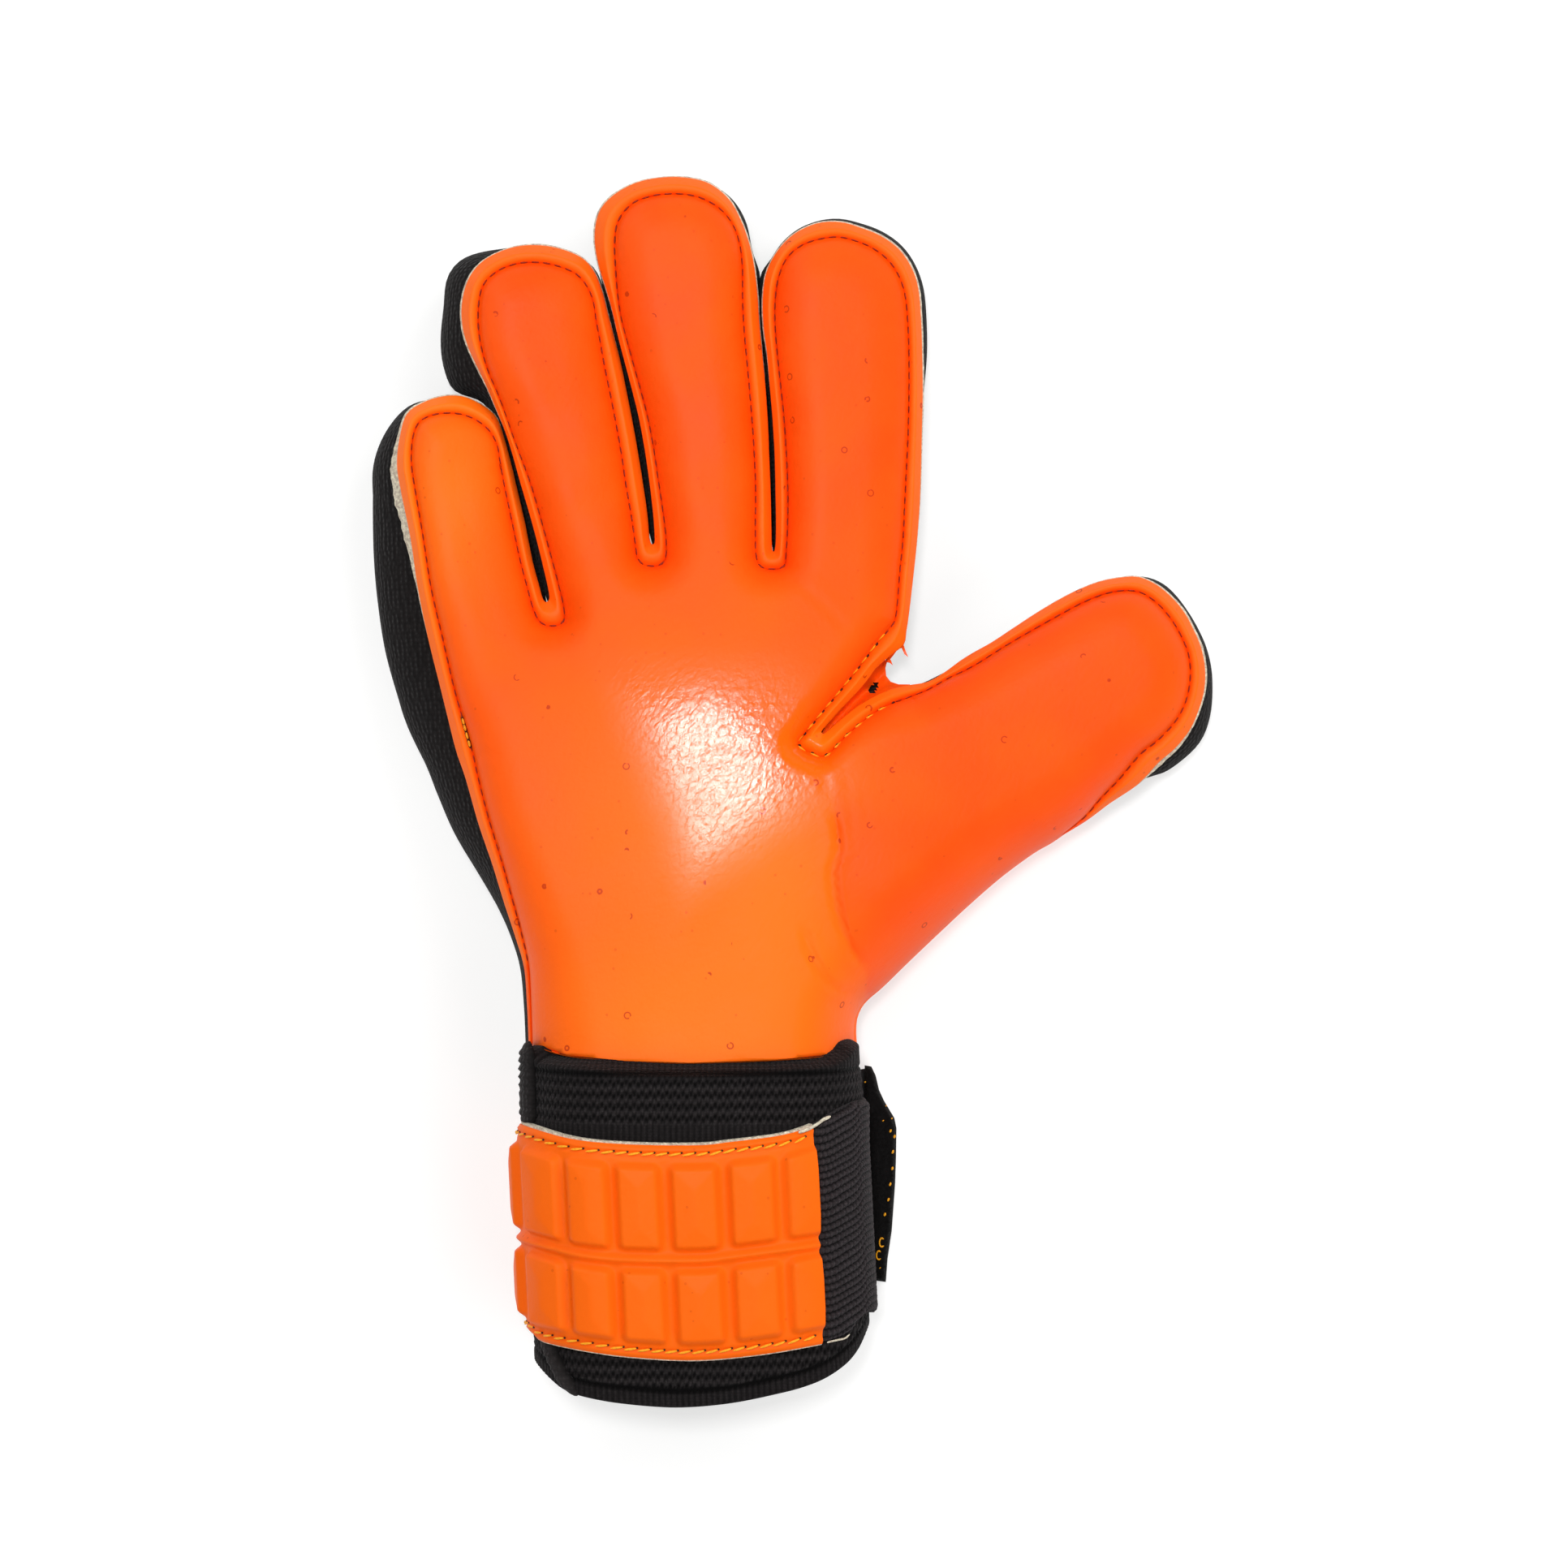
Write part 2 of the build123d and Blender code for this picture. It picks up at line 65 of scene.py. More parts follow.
# ------------------------------------------------------------------ outline of the latex
# Each row is one place on the outline, clockwise from the wrist on the ulnar side: the X and Y of
# the seam, the X and Y of the cut edge outside it, and where they change, the seam's height, how
# far the side bulges past the seam, and how far in the padding takes to reach its full height.
OUTLINE = {
    "ulnar": [
        (-59.2, -58.0, -60.0, -58.0, 24.0, 1.5, 16.0), (-59.5, -49.0, -60.4, -49.0, 26.0, 1.6, 15.0),
        (-60.0, -40.0, -61.1, -40.3, 28.0, 2.0, 13.0), (-61.6, -32.5, -63.2, -33.0, 29.0, 2.6, 12.0),
        (-63.6, -25.1, -65.6, -25.7, 30.0, 3.8, 11.0), (-66.2, -15.8, -68.4, -16.6, 30.0, 6.2, 10.0),
        (-69.0, -6.6, -71.5, -7.5, 30.0, 8.4, 9.5), (-71.4, 2.7, -74.4, 2.7, 29.5, 9.8, 9.5),
        (-72.9, 9.4, -76.6, 9.2), (-75.4, 17.9, -78.8, 17.9, 28.5, 12.2, 9.5),
        (-77.0, 23.6, -80.2, 23.6),
    ],
    "little": [
        (-79.6, 34.9, -83.0, 34.9, 27.5, 13.0, 9.5), (-82.2, 46.2, -85.3, 46.2),
        (-84.0, 57.6, -87.0, 57.6, 27.5, 11.2, 9.0), (-85.9, 68.9, -89.3, 68.9),
        (-86.7, 74.6, -90.1, 74.6, 27.5, 8.6, 9.0), (-86.5, 80.0, -89.5, 80.5, 27.0, 6.5, 9.0),
        (-85.2, 83.8, -87.9, 85.9, 26.5, 4.5, 9.0), (-82.5, 85.5, -84.2, 88.6),
        (-79.0, 86.1, -79.3, 90.1, 25.5, 3.0, 9.0), (-75.3, 85.8, -74.6, 89.9),
        (-71.8, 84.4, -69.9, 87.6, 24.0, 2.6, 9.0), (-69.0, 82.1, -67.2, 85.0),
        (-67.3, 79.0, -65.6, 80.6, 23.0, 2.4, 9.0), (-66.6, 75.1, -64.1, 75.1),
        (-65.7, 70.0, -62.8, 69.7, 22.0, 2.4, 9.0), (-63.9, 61.5, -60.8, 61.0),
        (-62.1, 53.0, -59.1, 52.5, 22.0, 2.4, 9.0), (-60.3, 46.0, -57.5, 46.5),
        (-58.9, 41.2, -56.9, 44.3, 23.0, 2.2, 8.0), (-57.2, 38.2, -56.5, 43.4),
    ],
    "ring": [
        (-54.4, 37.5, -56.0, 43.1, 24.0, 2.0, 7.0), (-52.0, 38.6, -55.4, 43.6),
        (-52.0, 42.2, -55.4, 45.2), (-53.8, 49.6, -56.5, 50.2, 24.0, 2.4, 8.5),
        (-55.8, 57.0, -58.2, 57.2), (-57.5, 63.2, -59.9, 63.4), (-59.5, 70.0, -61.9, 70.2),
        (-61.9, 76.5, -63.8, 77.0, 25.0, 2.4, 9.5), (-63.6, 81.0, -65.4, 82.0, 25.5, 2.6, 9.5),
        (-65.3, 86.0, -67.4, 87.0, 26.0, 5.0, 9.5), (-67.2, 91.0, -69.5, 92.0, 26.5, 9.0, 9.5),
        (-69.2, 95.7, -71.6, 96.4), (-70.6, 100.5, -73.7, 100.9, 27.0, 9.2, 9.5),
        (-71.4, 105.5, -75.1, 105.7), (-71.4, 110.5, -75.3, 111.0, 27.0, 7.6, 9.5),
        (-70.6, 114.8, -74.0, 116.3, 27.0, 8.2, 9.5), (-68.6, 117.4, -71.2, 120.3, 26.5, 6.4, 9.5),
        (-65.6, 119.3, -67.0, 122.9, 26.0, 4.4, 9.5), (-61.5, 120.4, -61.8, 124.4, 25.5, 3.8, 9.5),
        (-56.8, 120.4, -56.2, 124.4, 25.3, 4.3, 9.5), (-52.6, 119.4, -51.2, 123.2),
        (-49.0, 117.7, -47.3, 121.2, 24.5, 3.0, 9.5), (-46.6, 114.8, -44.8, 118.0),
        (-45.3, 111.5, -43.1, 113.6, 23.5, 2.4, 9.5), (-44.7, 107.5, -41.9, 108.9),
        (-43.8, 102.6, -40.5, 103.6, 22.8, 2.4, 9.5), (-42.7, 96.4, -38.9, 97.4),
        (-41.3, 89.6, -37.4, 90.0), (-40.1, 83.4, -36.2, 83.8), (-38.9, 76.6, -35.0, 77.0),
        (-37.9, 69.7, -33.9, 70.2), (-36.7, 62.9, -32.9, 63.2, 22.8, 2.4, 9.5),
        (-35.9, 57.3, -32.5, 58.5), (-35.2, 53.0, -32.2, 56.8, 23.3, 2.2, 8.0),
        (-33.5, 51.4, -31.9, 56.3),
    ],
    "middle": [
        (-30.6, 51.3, -31.6, 56.3, 23.6, 2.0, 7.0), (-28.8, 52.8, -31.3, 56.8),
        (-28.6, 57.5, -31.3, 58.8, 24.0, 2.4, 9.0), (-29.3, 63.6, -31.7, 64.0),
        (-30.3, 70.4, -32.5, 70.7), (-31.4, 77.9, -33.6, 78.2), (-32.7, 84.8, -34.9, 85.2),
        (-34.1, 90.3, -36.3, 90.9), (-35.8, 96.4, -37.9, 97.0), (-37.5, 102.6, -39.6, 103.5),
        (-38.9, 108.1, -40.9, 109.3, 24.3, 2.2, 9.5), (-39.7, 113.6, -42.4, 114.7),
        (-40.1, 119.2, -44.1, 120.1, 24.8, 2.4, 9.5), (-40.3, 124.9, -45.0, 126.4),
        (-39.5, 130.0, -44.0, 132.0, 25.2, 3.0, 9.5), (-36.5, 133.8, -41.0, 135.7),
        (-32.5, 135.5, -36.0, 138.6, 25.2, 3.4, 9.5), (-28.5, 136.1, -30.5, 139.9),
        (-24.3, 136.0, -24.5, 140.0, 25.0, 4.2, 9.5), (-20.2, 135.0, -18.8, 138.6),
        (-16.2, 132.6, -14.3, 135.0, 24.8, 3.6, 9.5), (-13.4, 129.0, -11.5, 130.0),
        (-11.9, 124.6, -9.6, 124.6, 24.3, 2.6, 9.5), (-11.3, 119.4, -8.5, 119.2),
        (-11.3, 113.0, -7.8, 113.0, 24.0, 2.4, 9.5), (-11.0, 106.0, -7.3, 106.0),
        (-10.4, 99.0, -6.6, 99.0), (-9.7, 91.5, -5.9, 91.5), (-9.1, 84.0, -5.4, 84.0),
        (-8.6, 76.6, -5.1, 76.6), (-8.3, 68.4, -4.8, 68.4), (-8.4, 60.1, -4.6, 60.1),
        (-8.2, 53.5, -4.5, 56.0, 24.0, 2.2, 8.0), (-7.0, 51.0, -4.3, 54.8),
    ],
    "index": [
        (-4.2, 50.5, -4.1, 54.6, 24.0, 2.0, 7.0), (-1.7, 51.2, -3.9, 55.0),
        (-1.2, 54.5, -3.7, 56.5, 24.0, 2.2, 8.5), (-0.9, 60.0, -3.6, 60.2),
        (-0.8, 67.4, -3.7, 67.4), (-1.1, 76.2, -3.9, 76.2), (-1.7, 85.1, -4.4, 85.1),
        (-2.4, 92.0, -5.0, 92.0), (-3.2, 99.5, -5.6, 99.5), (-3.7, 106.0, -6.4, 105.7),
        (-3.7, 112.0, -6.6, 112.2, 24.5, 2.4, 10.0), (-2.9, 117.3, -5.8, 118.2),
        (-1.0, 121.6, -3.2, 123.3, 24.8, 3.0, 10.0), (2.3, 124.4, 0.7, 127.2),
        (6.4, 125.8, 5.8, 129.5, 25.0, 4.2, 10.0), (10.6, 126.3, 11.0, 129.8),
        (14.6, 125.4, 15.8, 128.5, 24.8, 4.2, 10.0), (18.4, 123.8, 20.4, 126.6),
        (21.8, 121.2, 24.5, 123.6, 24.5, 4.6, 10.0), (24.2, 117.8, 27.4, 119.3),
        (25.7, 113.6, 28.9, 114.6, 24.0, 4.5, 10.0), (26.4, 107.5, 29.5, 107.9),
        (26.7, 99.3, 29.8, 99.3, 24.0, 4.2, 10.0), (26.7, 90.0, 29.9, 90.0, 24.0, 3.4, 10.0),
        (26.5, 81.5, 29.7, 81.5), (26.1, 73.0, 29.5, 73.0), (25.7, 65.0, 29.2, 65.0),
        (25.3, 57.0, 28.6, 57.0, 24.0, 2.8, 9.5), (24.6, 50.0, 27.9, 50.0),
        (23.8, 40.5, 26.8, 40.5, 24.5, 2.4, 9.0), (22.9, 37.9, 26.2, 36.5),
        (20.3, 34.8, 25.6, 33.4, 25.0, 1.6, 8.0), (17.9, 31.7, 22.6, 30.9),
        (15.5, 28.5, 19.3, 28.0, 26.0, 1.2, 7.0), (13.0, 25.3, 17.0, 24.9),
        (10.4, 22.1, 14.2, 21.7, 28.5, 1.2, 6.0), (7.7, 18.9, 11.2, 18.6),
        (5.1, 15.7, 8.7, 15.8, 31.0, 1.0, 5.0), (2.8, 12.8, 7.1, 14.0),
        (1.4, 10.6, 6.8, 13.5, 32.5, 1.0, 4.0), (4.0, 8.8, 6.9, 13.2),
    ],
    "thumb": [
        (7.2, 7.8, 7.2, 13.0, 32.5, 1.0, 4.0), (9.4, 9.4, 8.5, 14.0),
        (12.0, 12.2, 11.1, 16.2, 31.0, 1.2, 5.0), (15.5, 15.3, 14.7, 19.1),
        (18.7, 17.7, 18.6, 21.4, 28.5, 1.6, 7.0), (22.3, 19.7, 22.4, 23.1),
        (26.5, 21.2, 26.5, 24.1, 25.5, 2.2, 9.0), (31.0, 23.0, 31.0, 24.9),
        (35.5, 25.5, 34.9, 27.1, 24.0, 1.6, 10.0), (39.3, 27.3, 38.3, 29.6),
        (42.8, 29.2, 41.3, 31.5), (47.0, 31.9, 45.6, 33.9, 23.5, 1.8, 11.0),
        (51.8, 34.8, 50.3, 37.0), (56.9, 37.7, 55.5, 40.4), (62.1, 40.6, 60.7, 43.5),
        (66.9, 43.1, 65.6, 46.0, 23.5, 2.2, 11.0), (71.6, 44.9, 70.4, 47.8),
        (75.6, 45.6, 75.0, 48.7, 24.0, 3.0, 10.0), (79.2, 45.3, 79.2, 48.8),
        (82.2, 43.7, 83.3, 47.0, 24.0, 4.4, 10.0), (84.9, 41.2, 87.0, 43.9),
        (87.3, 38.0, 89.8, 40.4, 24.0, 4.2, 10.0), (89.1, 34.7, 91.8, 36.6),
        (90.4, 31.4, 93.4, 32.8, 24.0, 4.4, 10.0), (90.9, 27.6, 94.3, 28.2),
        (90.6, 23.5, 94.2, 23.4, 23.8, 5.4, 10.0), (89.5, 19.5, 93.0, 18.8),
        (87.2, 15.5, 90.9, 14.0, 23.5, 7.4, 10.0), (83.5, 11.6, 87.6, 9.8),
        (79.7, 8.6, 83.9, 6.6, 22.5, 6.5, 10.5), (76.9, 5.4, 80.8, 3.2),
        (74.6, 2.6, 77.9, 0.6, 20.5, 2.5, 12.0), (70.6, -1.6, 72.6, -2.9, 18.5, 0.4, 13.0),
        (66.5, -6.2, 67.2, -6.9, 17.0, -0.4, 14.0), (60.1, -11.2, 60.1, -11.2, 16.0, -0.6, 15.0),
        (55.2, -14.1, 55.2, -14.1), (48.1, -19.3, 48.1, -19.3), (41.0, -25.4, 41.0, -25.4),
        (33.9, -32.0, 33.9, -32.0, 17.0, -0.6, 16.0), (26.8, -38.7, 26.8, -38.7),
        (20.7, -44.6, 20.7, -44.6, 18.0, -0.5, 15.0), (17.3, -47.4, 17.3, -47.4),
        (15.6, -49.4, 15.6, -49.4, 19.0, -0.3, 14.0), (14.5, -52.0, 14.5, -52.0),
        (14.2, -55.0, 14.2, -55.0), (14.3, -58.0, 14.3, -58.0, 20.0, 0.0, 15.0),
    ],
}
SIDES = list(OUTLINE)

# The lower edge of the latex at the wrist, from the thumb side to the ulnar side.
WRIST_EDGE = [(12.2, -58.8), (8.9, -60.3), (-4.7, -61.4), (-23.2, -62.0), (-38.0, -61.6),
              (-51.0, -60.4)]

# Heights of the latex's face where it is fully padded: X, Y, Z. The face is a smooth surface near
# them, and the greater EASE is, the further it may pass from each.
EASE = 30.0
CROWN = [
    (-81, 78, 30.2), (-72, 78, 27.5), (-79, 58, 30.6), (-69, 56, 27.8), (-75, 42, 31.5),
    (-64, 38, 29.6), (-66, 112, 30.6), (-51, 112, 28.4), (-61, 92, 31.0), (-47, 90, 28.2),
    (-55, 68, 31.0), (-43, 66, 28.8), (-36, 124, 29.8), (-17, 124, 29.0), (-31, 96, 30.4),
    (-15, 96, 29.6), (-26, 70, 31.0), (-13, 70, 30.0), (2, 116, 30.2), (20, 112, 28.6),
    (2, 90, 31.2), (21, 88, 29.0), (4, 66, 31.4), (20, 64, 29.2), (17, 45, 31.0), (5, 50, 32.0),
    (-17, 52, 32.4), (-44, 48, 31.6), (-30, 46, 32.6),
    (-66, 22, 34.0), (-45, 25, 35.8), (-20, 28, 36.75), (2, 28, 36.0), (14, 36, 33.4),
    (-62, 0, 36.6), (-40, 2, 38.1), (-18, 4, 38.6), (0, 4, 38.5), (-56, -22, 39.0),
    (-36, -22, 39.9), (-14, -20, 40.0), (2, -22, 39.4), (-50, -45, 39.8), (-22, -45, 40.4),
    (4, -46, 39.6), (-22, -64, 41.4), (-48, -62, 40.8), (6, -62, 40.4),
    (20, 2, 37.0), (22, -22, 38.4), (20, -38, 36.0), (36, 8, 34.4), (38, -10, 34.6),
    (52, 16, 32.2), (54, 0, 31.8), (68, 28, 31.4), (70, 12, 30.4), (82, 33, 30.6), (84, 22, 30.2),
]

# Creases of the latex: (points, depth, half width), and the low ridge beside each: its height as a
# share of the depth, and its place and half width as shares of the crease's half width.
RIDGE_HEIGHT, RIDGE_PLACE, RIDGE_WIDTH = 0.3, 2.3, 1.3
CREASE_STEP, CREASE_FADE = 1.5, 3    # spacing along a crease, and the steps over which it fades
CREASES = [
    ([(9.3, -3.7), (10.6, -12.7), (9.0, -18.3), (10.0, -26.4), (11.9, -32.5), (14.5, -37.7),
      (16.6, -40.0)], 1.1, 0.7),
    ([(2.2, -30.2), (3.7, -35.4), (6.0, -40.5), (8.9, -44.3), (12.2, -47.2)], 1.0, 0.7),
    ([(12.2, 5.3), (13.1, -0.4), (13.6, -7.5), (12.6, -14.6)], 0.12, 0.7),
    ([(15.0, 2.9), (16.9, -5.1), (17.4, -10.0)], 0.1, 0.7),
    ([(8.6, -44.1), (12.2, -45.7), (15.4, -47.6)], 0.5, 0.7),
    ([(7.0, -46.2), (10.3, -49.5), (13.4, -51.7)], 0.45, 0.7),
    ([(-1.0, 49.6), (2.6, 46.6), (7.0, 42.6), (11.0, 38.4), (14.0, 34.6)], 0.25, 0.8),
    ([(6.8, 7.4), (7.6, 2.0), (8.4, -3.0)], 0.15, 1.0),
    ([(-28.4, 51.4), (-24.6, 50.0)], 0.4, 0.8),
    ([(-51.4, 38.2), (-47.4, 39.2)], 0.4, 0.8),
    ([(-72.4, 8.2), (-69.0, 8.0), (-66.4, 9.2)], 0.5, 0.8),
]


# ------------------------------------------------------------------ digits and joints
JOINTS = {joint["name"]: joint for joint in frame["joints"]}
# Along each digit: where its base fold starts and ends, and where its middle fold does.
FOLD_REACH = {"little": (0.0, 21.5, 22.0, 41.0), "ring": (0.0, 27.0, 29.0, 61.0),
              "middle": (0.0, 28.0, 33.0, 67.0), "index": (0.0, 26.0, 29.0, 63.0),
              "thumb": (-8.5, 13.5, 24.0, 54.0)}
THUMB_SPLIT = 19.0                   # where the thumb's base and tip part
WRIST_FOLD = (-46.0, -74.0)          # Y where the fold of the wrist starts and ends
HEEL_OF_THUMB = -50.0                # below this Y nothing belongs to the thumb


class Digit:
    """A digit's own frame in plan, taken from its two hinges."""

    def __init__(self, name):
        low, high = (JOINTS[f"{name}_{which}_bend"] for which in ("base", "middle"))
        self.name = name
        self.axis = np.array(high["axis"][:2])
        self.along = np.array([-self.axis[1], self.axis[0]])
        middle = np.array(high["pos_m"][:2]) / MM
        first, last = FOLD_REACH[name][2:]
        self.base = middle - self.along * (first + last) / 2
        self.fold_axis = np.array(low["axis"][:2])
        self.fold_along = np.array([-self.fold_axis[1], self.fold_axis[0]])
        self.fold_point = np.array(low["pos_m"][:2]) / MM
        low_first, low_last = FOLD_REACH[name][:2]
        self.split = THUMB_SPLIT if name == "thumb" else (low_last + first) / 2
        if name != "thumb":
            self.fold_point = self.fold_point - self.fold_along * (low_first + low_last) / 2

    def local(self, points):
        offset = np.asarray(points)[..., :2] - self.base
        return offset @ self.axis, offset @ self.along

    def past_fold(self, points):
        """Distance past the line where the base fold begins."""
        start = FOLD_REACH[self.name][0] if self.name == "thumb" else 0.0
        return (np.asarray(points)[..., :2] - self.fold_point) @ self.fold_along - start


DIGITS = {name: Digit(name) for name in FOLD_REACH}

# The cuff's section is a rectangle with round corners.
cuff_low, cuff_high = (np.array(corner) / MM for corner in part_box("cuff_knit"))
CUFF_X, CUFF_Z = (cuff_low[0] + cuff_high[0]) / 2, (cuff_low[2] + cuff_high[2]) / 2
CUFF_HALF = (cuff_high[0] - CUFF_X, cuff_high[2] - CUFF_Z)
CUFF_CORNER = 19.0
FLAT_X, FLAT_Z = CUFF_HALF[0] - CUFF_CORNER, CUFF_HALF[1] - CUFF_CORNER


# ------------------------------------------------------------------ small tools
def smoothstep(t):
    t = np.clip(t, 0.0, 1.0)
    return t * t * (3 - 2 * t)


def smoothed(values, times):
    """Values along a line, each averaged with its neighbours. The ends stay."""
    values = values.copy()
    for _ in range(times):
        values[1:-1] = (values[:-2] + 2 * values[1:-1] + values[2:]) / 4
    return values


def unit(vectors):
    """Vectors, one in each row, made one long."""
    return vectors / np.maximum(np.linalg.norm(vectors, axis=1, keepdims=True), 1e-12)


def centres_of(points, faces):
    return np.array([points[face].mean(axis=0) for face in faces])


def shrink(z):
    """The scale of a plane at height z against the seam plane, as the camera sees it."""
    return 1 - (z - SEAM_PLANE) / (CAMERA_HEIGHT - SEAM_PLANE)


def straighten(points):
    """Moves points from where they look to be, judged on the seam plane, to where they are."""
    out = np.array(points, float)
    out[:, :2] *= shrink(out[:, 2:3])
    return out


def spline(rows, step):
    """A Catmull-Rom curve through rows, sampled about every step of its first two columns."""
    rows = np.array(rows, float)
    padded = np.vstack([2 * rows[0] - rows[1], rows, 2 * rows[-1] - rows[-2]])
    out, owner = [], []
    for i in range(len(rows) - 1):
        a, b, c, d = padded[i:i + 4]
        span = max(np.hypot(*(c - b)[:2]), np.hypot(*(c - b)[2:4]) if len(b) > 3 else 0)
        n = max(1, int(round(span / step)))
        for k in range(n):
            t = k / n
            out.append(0.5 * (2 * b + (c - a) * t + (2 * a - 5 * b + 4 * c - d) * t * t
                              + (3 * b - a - 3 * c + d) * t ** 3))
            owner.append(i)
    out.append(rows[-1])
    owner.append(len(rows) - 2)
    return np.array(out), np.array(owner)


def filled(rows):
    """Rows with the columns that were left out interpolated along the outline."""
    rows = [list(row) + [None] * (7 - len(row)) for row in rows]
    table = np.array([[np.nan if v is None else v for v in row] for row in rows], float)
    place = np.concatenate([[0], np.cumsum(np.hypot(*np.diff(table[:, :2], axis=0).T))])
    for column in range(4, 7):
        known = ~np.isnan(table[:, column])
        table[:, column] = np.interp(place, place[known], table[known, column])
    return table


def distance_to(points, path):
    """Distance of each point to a polyline, and the place along it that is nearest."""
    a, b = path[:-1], path[1:]
    best = np.full(len(points), 1e9)
    where = np.zeros(len(points))
    for i in range(len(a)):
        d = b[i] - a[i]
        t = np.clip((points - a[i]) @ d / max(d @ d, 1e-9), 0, 1)
        gap = np.hypot(*(points - a[i] - t[:, None] * d).T)
        nearer = gap < best
        best[nearer] = gap[nearer]
        where[nearer] = (i + t)[nearer]
    return best, where


def inside(points, loop):
    """Which points lie inside a closed loop."""
    x, y = points[:, 0], points[:, 1]
    result = np.zeros(len(points), bool)
    for (x0, y0), (x1, y1) in zip(loop, np.roll(loop, -1, axis=0)):
        crosses = (y0 > y) != (y1 > y)
        with np.errstate(divide="ignore", invalid="ignore"):
            result ^= crosses & (x < (x1 - x0) * (y - y0) / (y1 - y0) + x0)
    return result


def thin_plate(controls):
    """A smooth surface z(x, y) through the control points."""
    controls = np.array(controls, float)
    xy, z = controls[:, :2], controls[:, 2]

    def kernel(a, b):
        r2 = ((a[:, None, :] - b[None, :, :]) ** 2).sum(2)
        return r2 * np.log(r2 + 1e-9)

    n = len(z)
    system = np.zeros((n + 3, n + 3))
    system[:n, :n] = kernel(xy, xy) + np.eye(n) * EASE
    system[:n, n:] = np.c_[np.ones(n), xy]
    system[n:, :n] = system[:n, n:].T
    weights = np.linalg.solve(system, np.r_[z, np.zeros(3)])
    return lambda p: kernel(p, xy) @ weights[:n] + np.c_[np.ones(len(p)), p] @ weights[n:]


def vertex_normals(points, faces):
    """Area-weighted vertex normals of a mesh with triangles and quads."""
    normals = np.zeros_like(points)
    for count in (3, 4):
        group = np.array([f for f in faces if len(f) == count], int).reshape(-1, count)
        if len(group):
            p = points[group]
            n = np.cross(p[:, 1] - p[:, 0], p[:, 2] - p[:, 0])
            if count == 4:
                n = n + np.cross(p[:, 2] - p[:, 0], p[:, 3] - p[:, 0])
            for corner in range(count):
                np.add.at(normals, group[:, corner], n)
    return unit(normals)


def make_object(name, points, faces, material, normals=None):
    """A smooth mesh object. Points are in millimetres; its rest place is kept for the textures."""
    mesh = bpy.data.meshes.new(name)
    mesh.from_pydata((np.asarray(points) * MM).tolist(), [], [tuple(map(int, f)) for f in faces])
    mesh.validate()
    rest = mesh.attributes.new("rest", "FLOAT_VECTOR", "POINT")
    coords = np.zeros(len(mesh.vertices) * 3)
    mesh.vertices.foreach_get("co", coords)
    rest.data.foreach_set("vector", coords)
    mesh.shade_smooth()
    if normals is not None:
        mesh.normals_split_custom_set_from_vertices(normals.tolist())
    mesh.materials.append(material)
    obj = bpy.data.objects.new(name, mesh)
    bpy.context.scene.collection.objects.link(obj)
    return obj


def paint_light_and_shade(obj, values):
    """Stores a value from 0 to 1 for each point, by which the material paints light and shade into its
    colour.
    """
    paint = obj.data.attributes.new("tone", "FLOAT", "POINT")
    full = np.full(len(obj.data.vertices), 0.5, np.float32)
    full[:len(values)] = values
    paint.data.foreach_set("value", full)


def split_mesh(points, faces, regions, wanted):
    """The part of a mesh whose faces are in one region, with the whole mesh's normals."""
    normals = vertex_normals(points, faces)
    chosen = [f for f, region in zip(faces, regions) if region == wanted]
    used = sorted({v for f in chosen for v in f})
    index = {v: i for i, v in enumerate(used)}
    return points[used], [[index[v] for v in f] for f in chosen], normals[used]


def strip_faces(rows, columns, flip=False):
    """Quads of a grid of points listed row by row."""
    faces = []
    for r in range(rows - 1):
        for c in range(columns - 1):
            a = r * columns + c
            quad = [a, a + 1, a + columns + 1, a + columns]
            faces.append(quad[::-1] if flip else quad)
    return faces


def ring_faces(rows, columns):
    """Quads of a tube: a grid of points whose last column meets its first."""
    return [[r * columns + c, r * columns + (c + 1) % columns,
             (r + 1) * columns + (c + 1) % columns, (r + 1) * columns + c]
            for r in range(rows - 1) for c in range(columns)]


def closed_tube(rows, columns):
    """Faces of a tube with both ends closed."""
    ends = [list(range(columns))[::-1], [(rows - 1) * columns + c for c in range(columns)]]
    return ring_faces(rows, columns) + ends


# ------------------------------------------------------------------ materials
def material(name, color, roughness):
    mat = bpy.data.materials.new(name)
    mat.use_nodes = True
    tree = mat.node_tree
    shader = tree.nodes["Principled BSDF"]
    shader.inputs["Base Color"].default_value = (*color, 1)
    shader.inputs["Roughness"].default_value = roughness
    return mat, tree


def finish_material(mat, color=None, normal=None, rough=None, **constants):
    """Links what a material works out to its shader, and sets the shader's constant inputs."""
    tree = mat.node_tree
    inputs = tree.nodes["Principled BSDF"].inputs
    for name, output in (("Base Color", color), ("Normal", normal), ("Roughness", rough)):
        if output is not None:
            tree.links.new(output, inputs[name])
    for name, value in constants.items():
        inputs[name.replace("_", " ")].default_value = value
    return mat


def feed(tree, socket, value):
    """Links a socket to another node's output, or sets it to a constant."""
    if isinstance(value, bpy.types.NodeSocket):
        tree.links.new(value, socket)
    else:
        socket.default_value = value


def add(tree, kind, settings=None, **inputs):
    """Adds a node. An input is named by its socket (with _ for a space) or by _ and its number."""
    node = tree.nodes.new("ShaderNode" + kind)
    for key, value in (settings or {}).items():
        setattr(node, key, value)
    for key, value in inputs.items():
        feed(tree, node.inputs[int(key[1:]) if key[0] == "_" else key.replace("_", " ")], value)
    return node


def attribute(tree, name, output):
    return add(tree, "Attribute", {"attribute_name": name}).outputs[output]


def noise(tree, place, scale, detail, **more):
    return add(tree, "TexNoise", Vector=place, Scale=scale, Detail=detail, **more).outputs["Fac"]


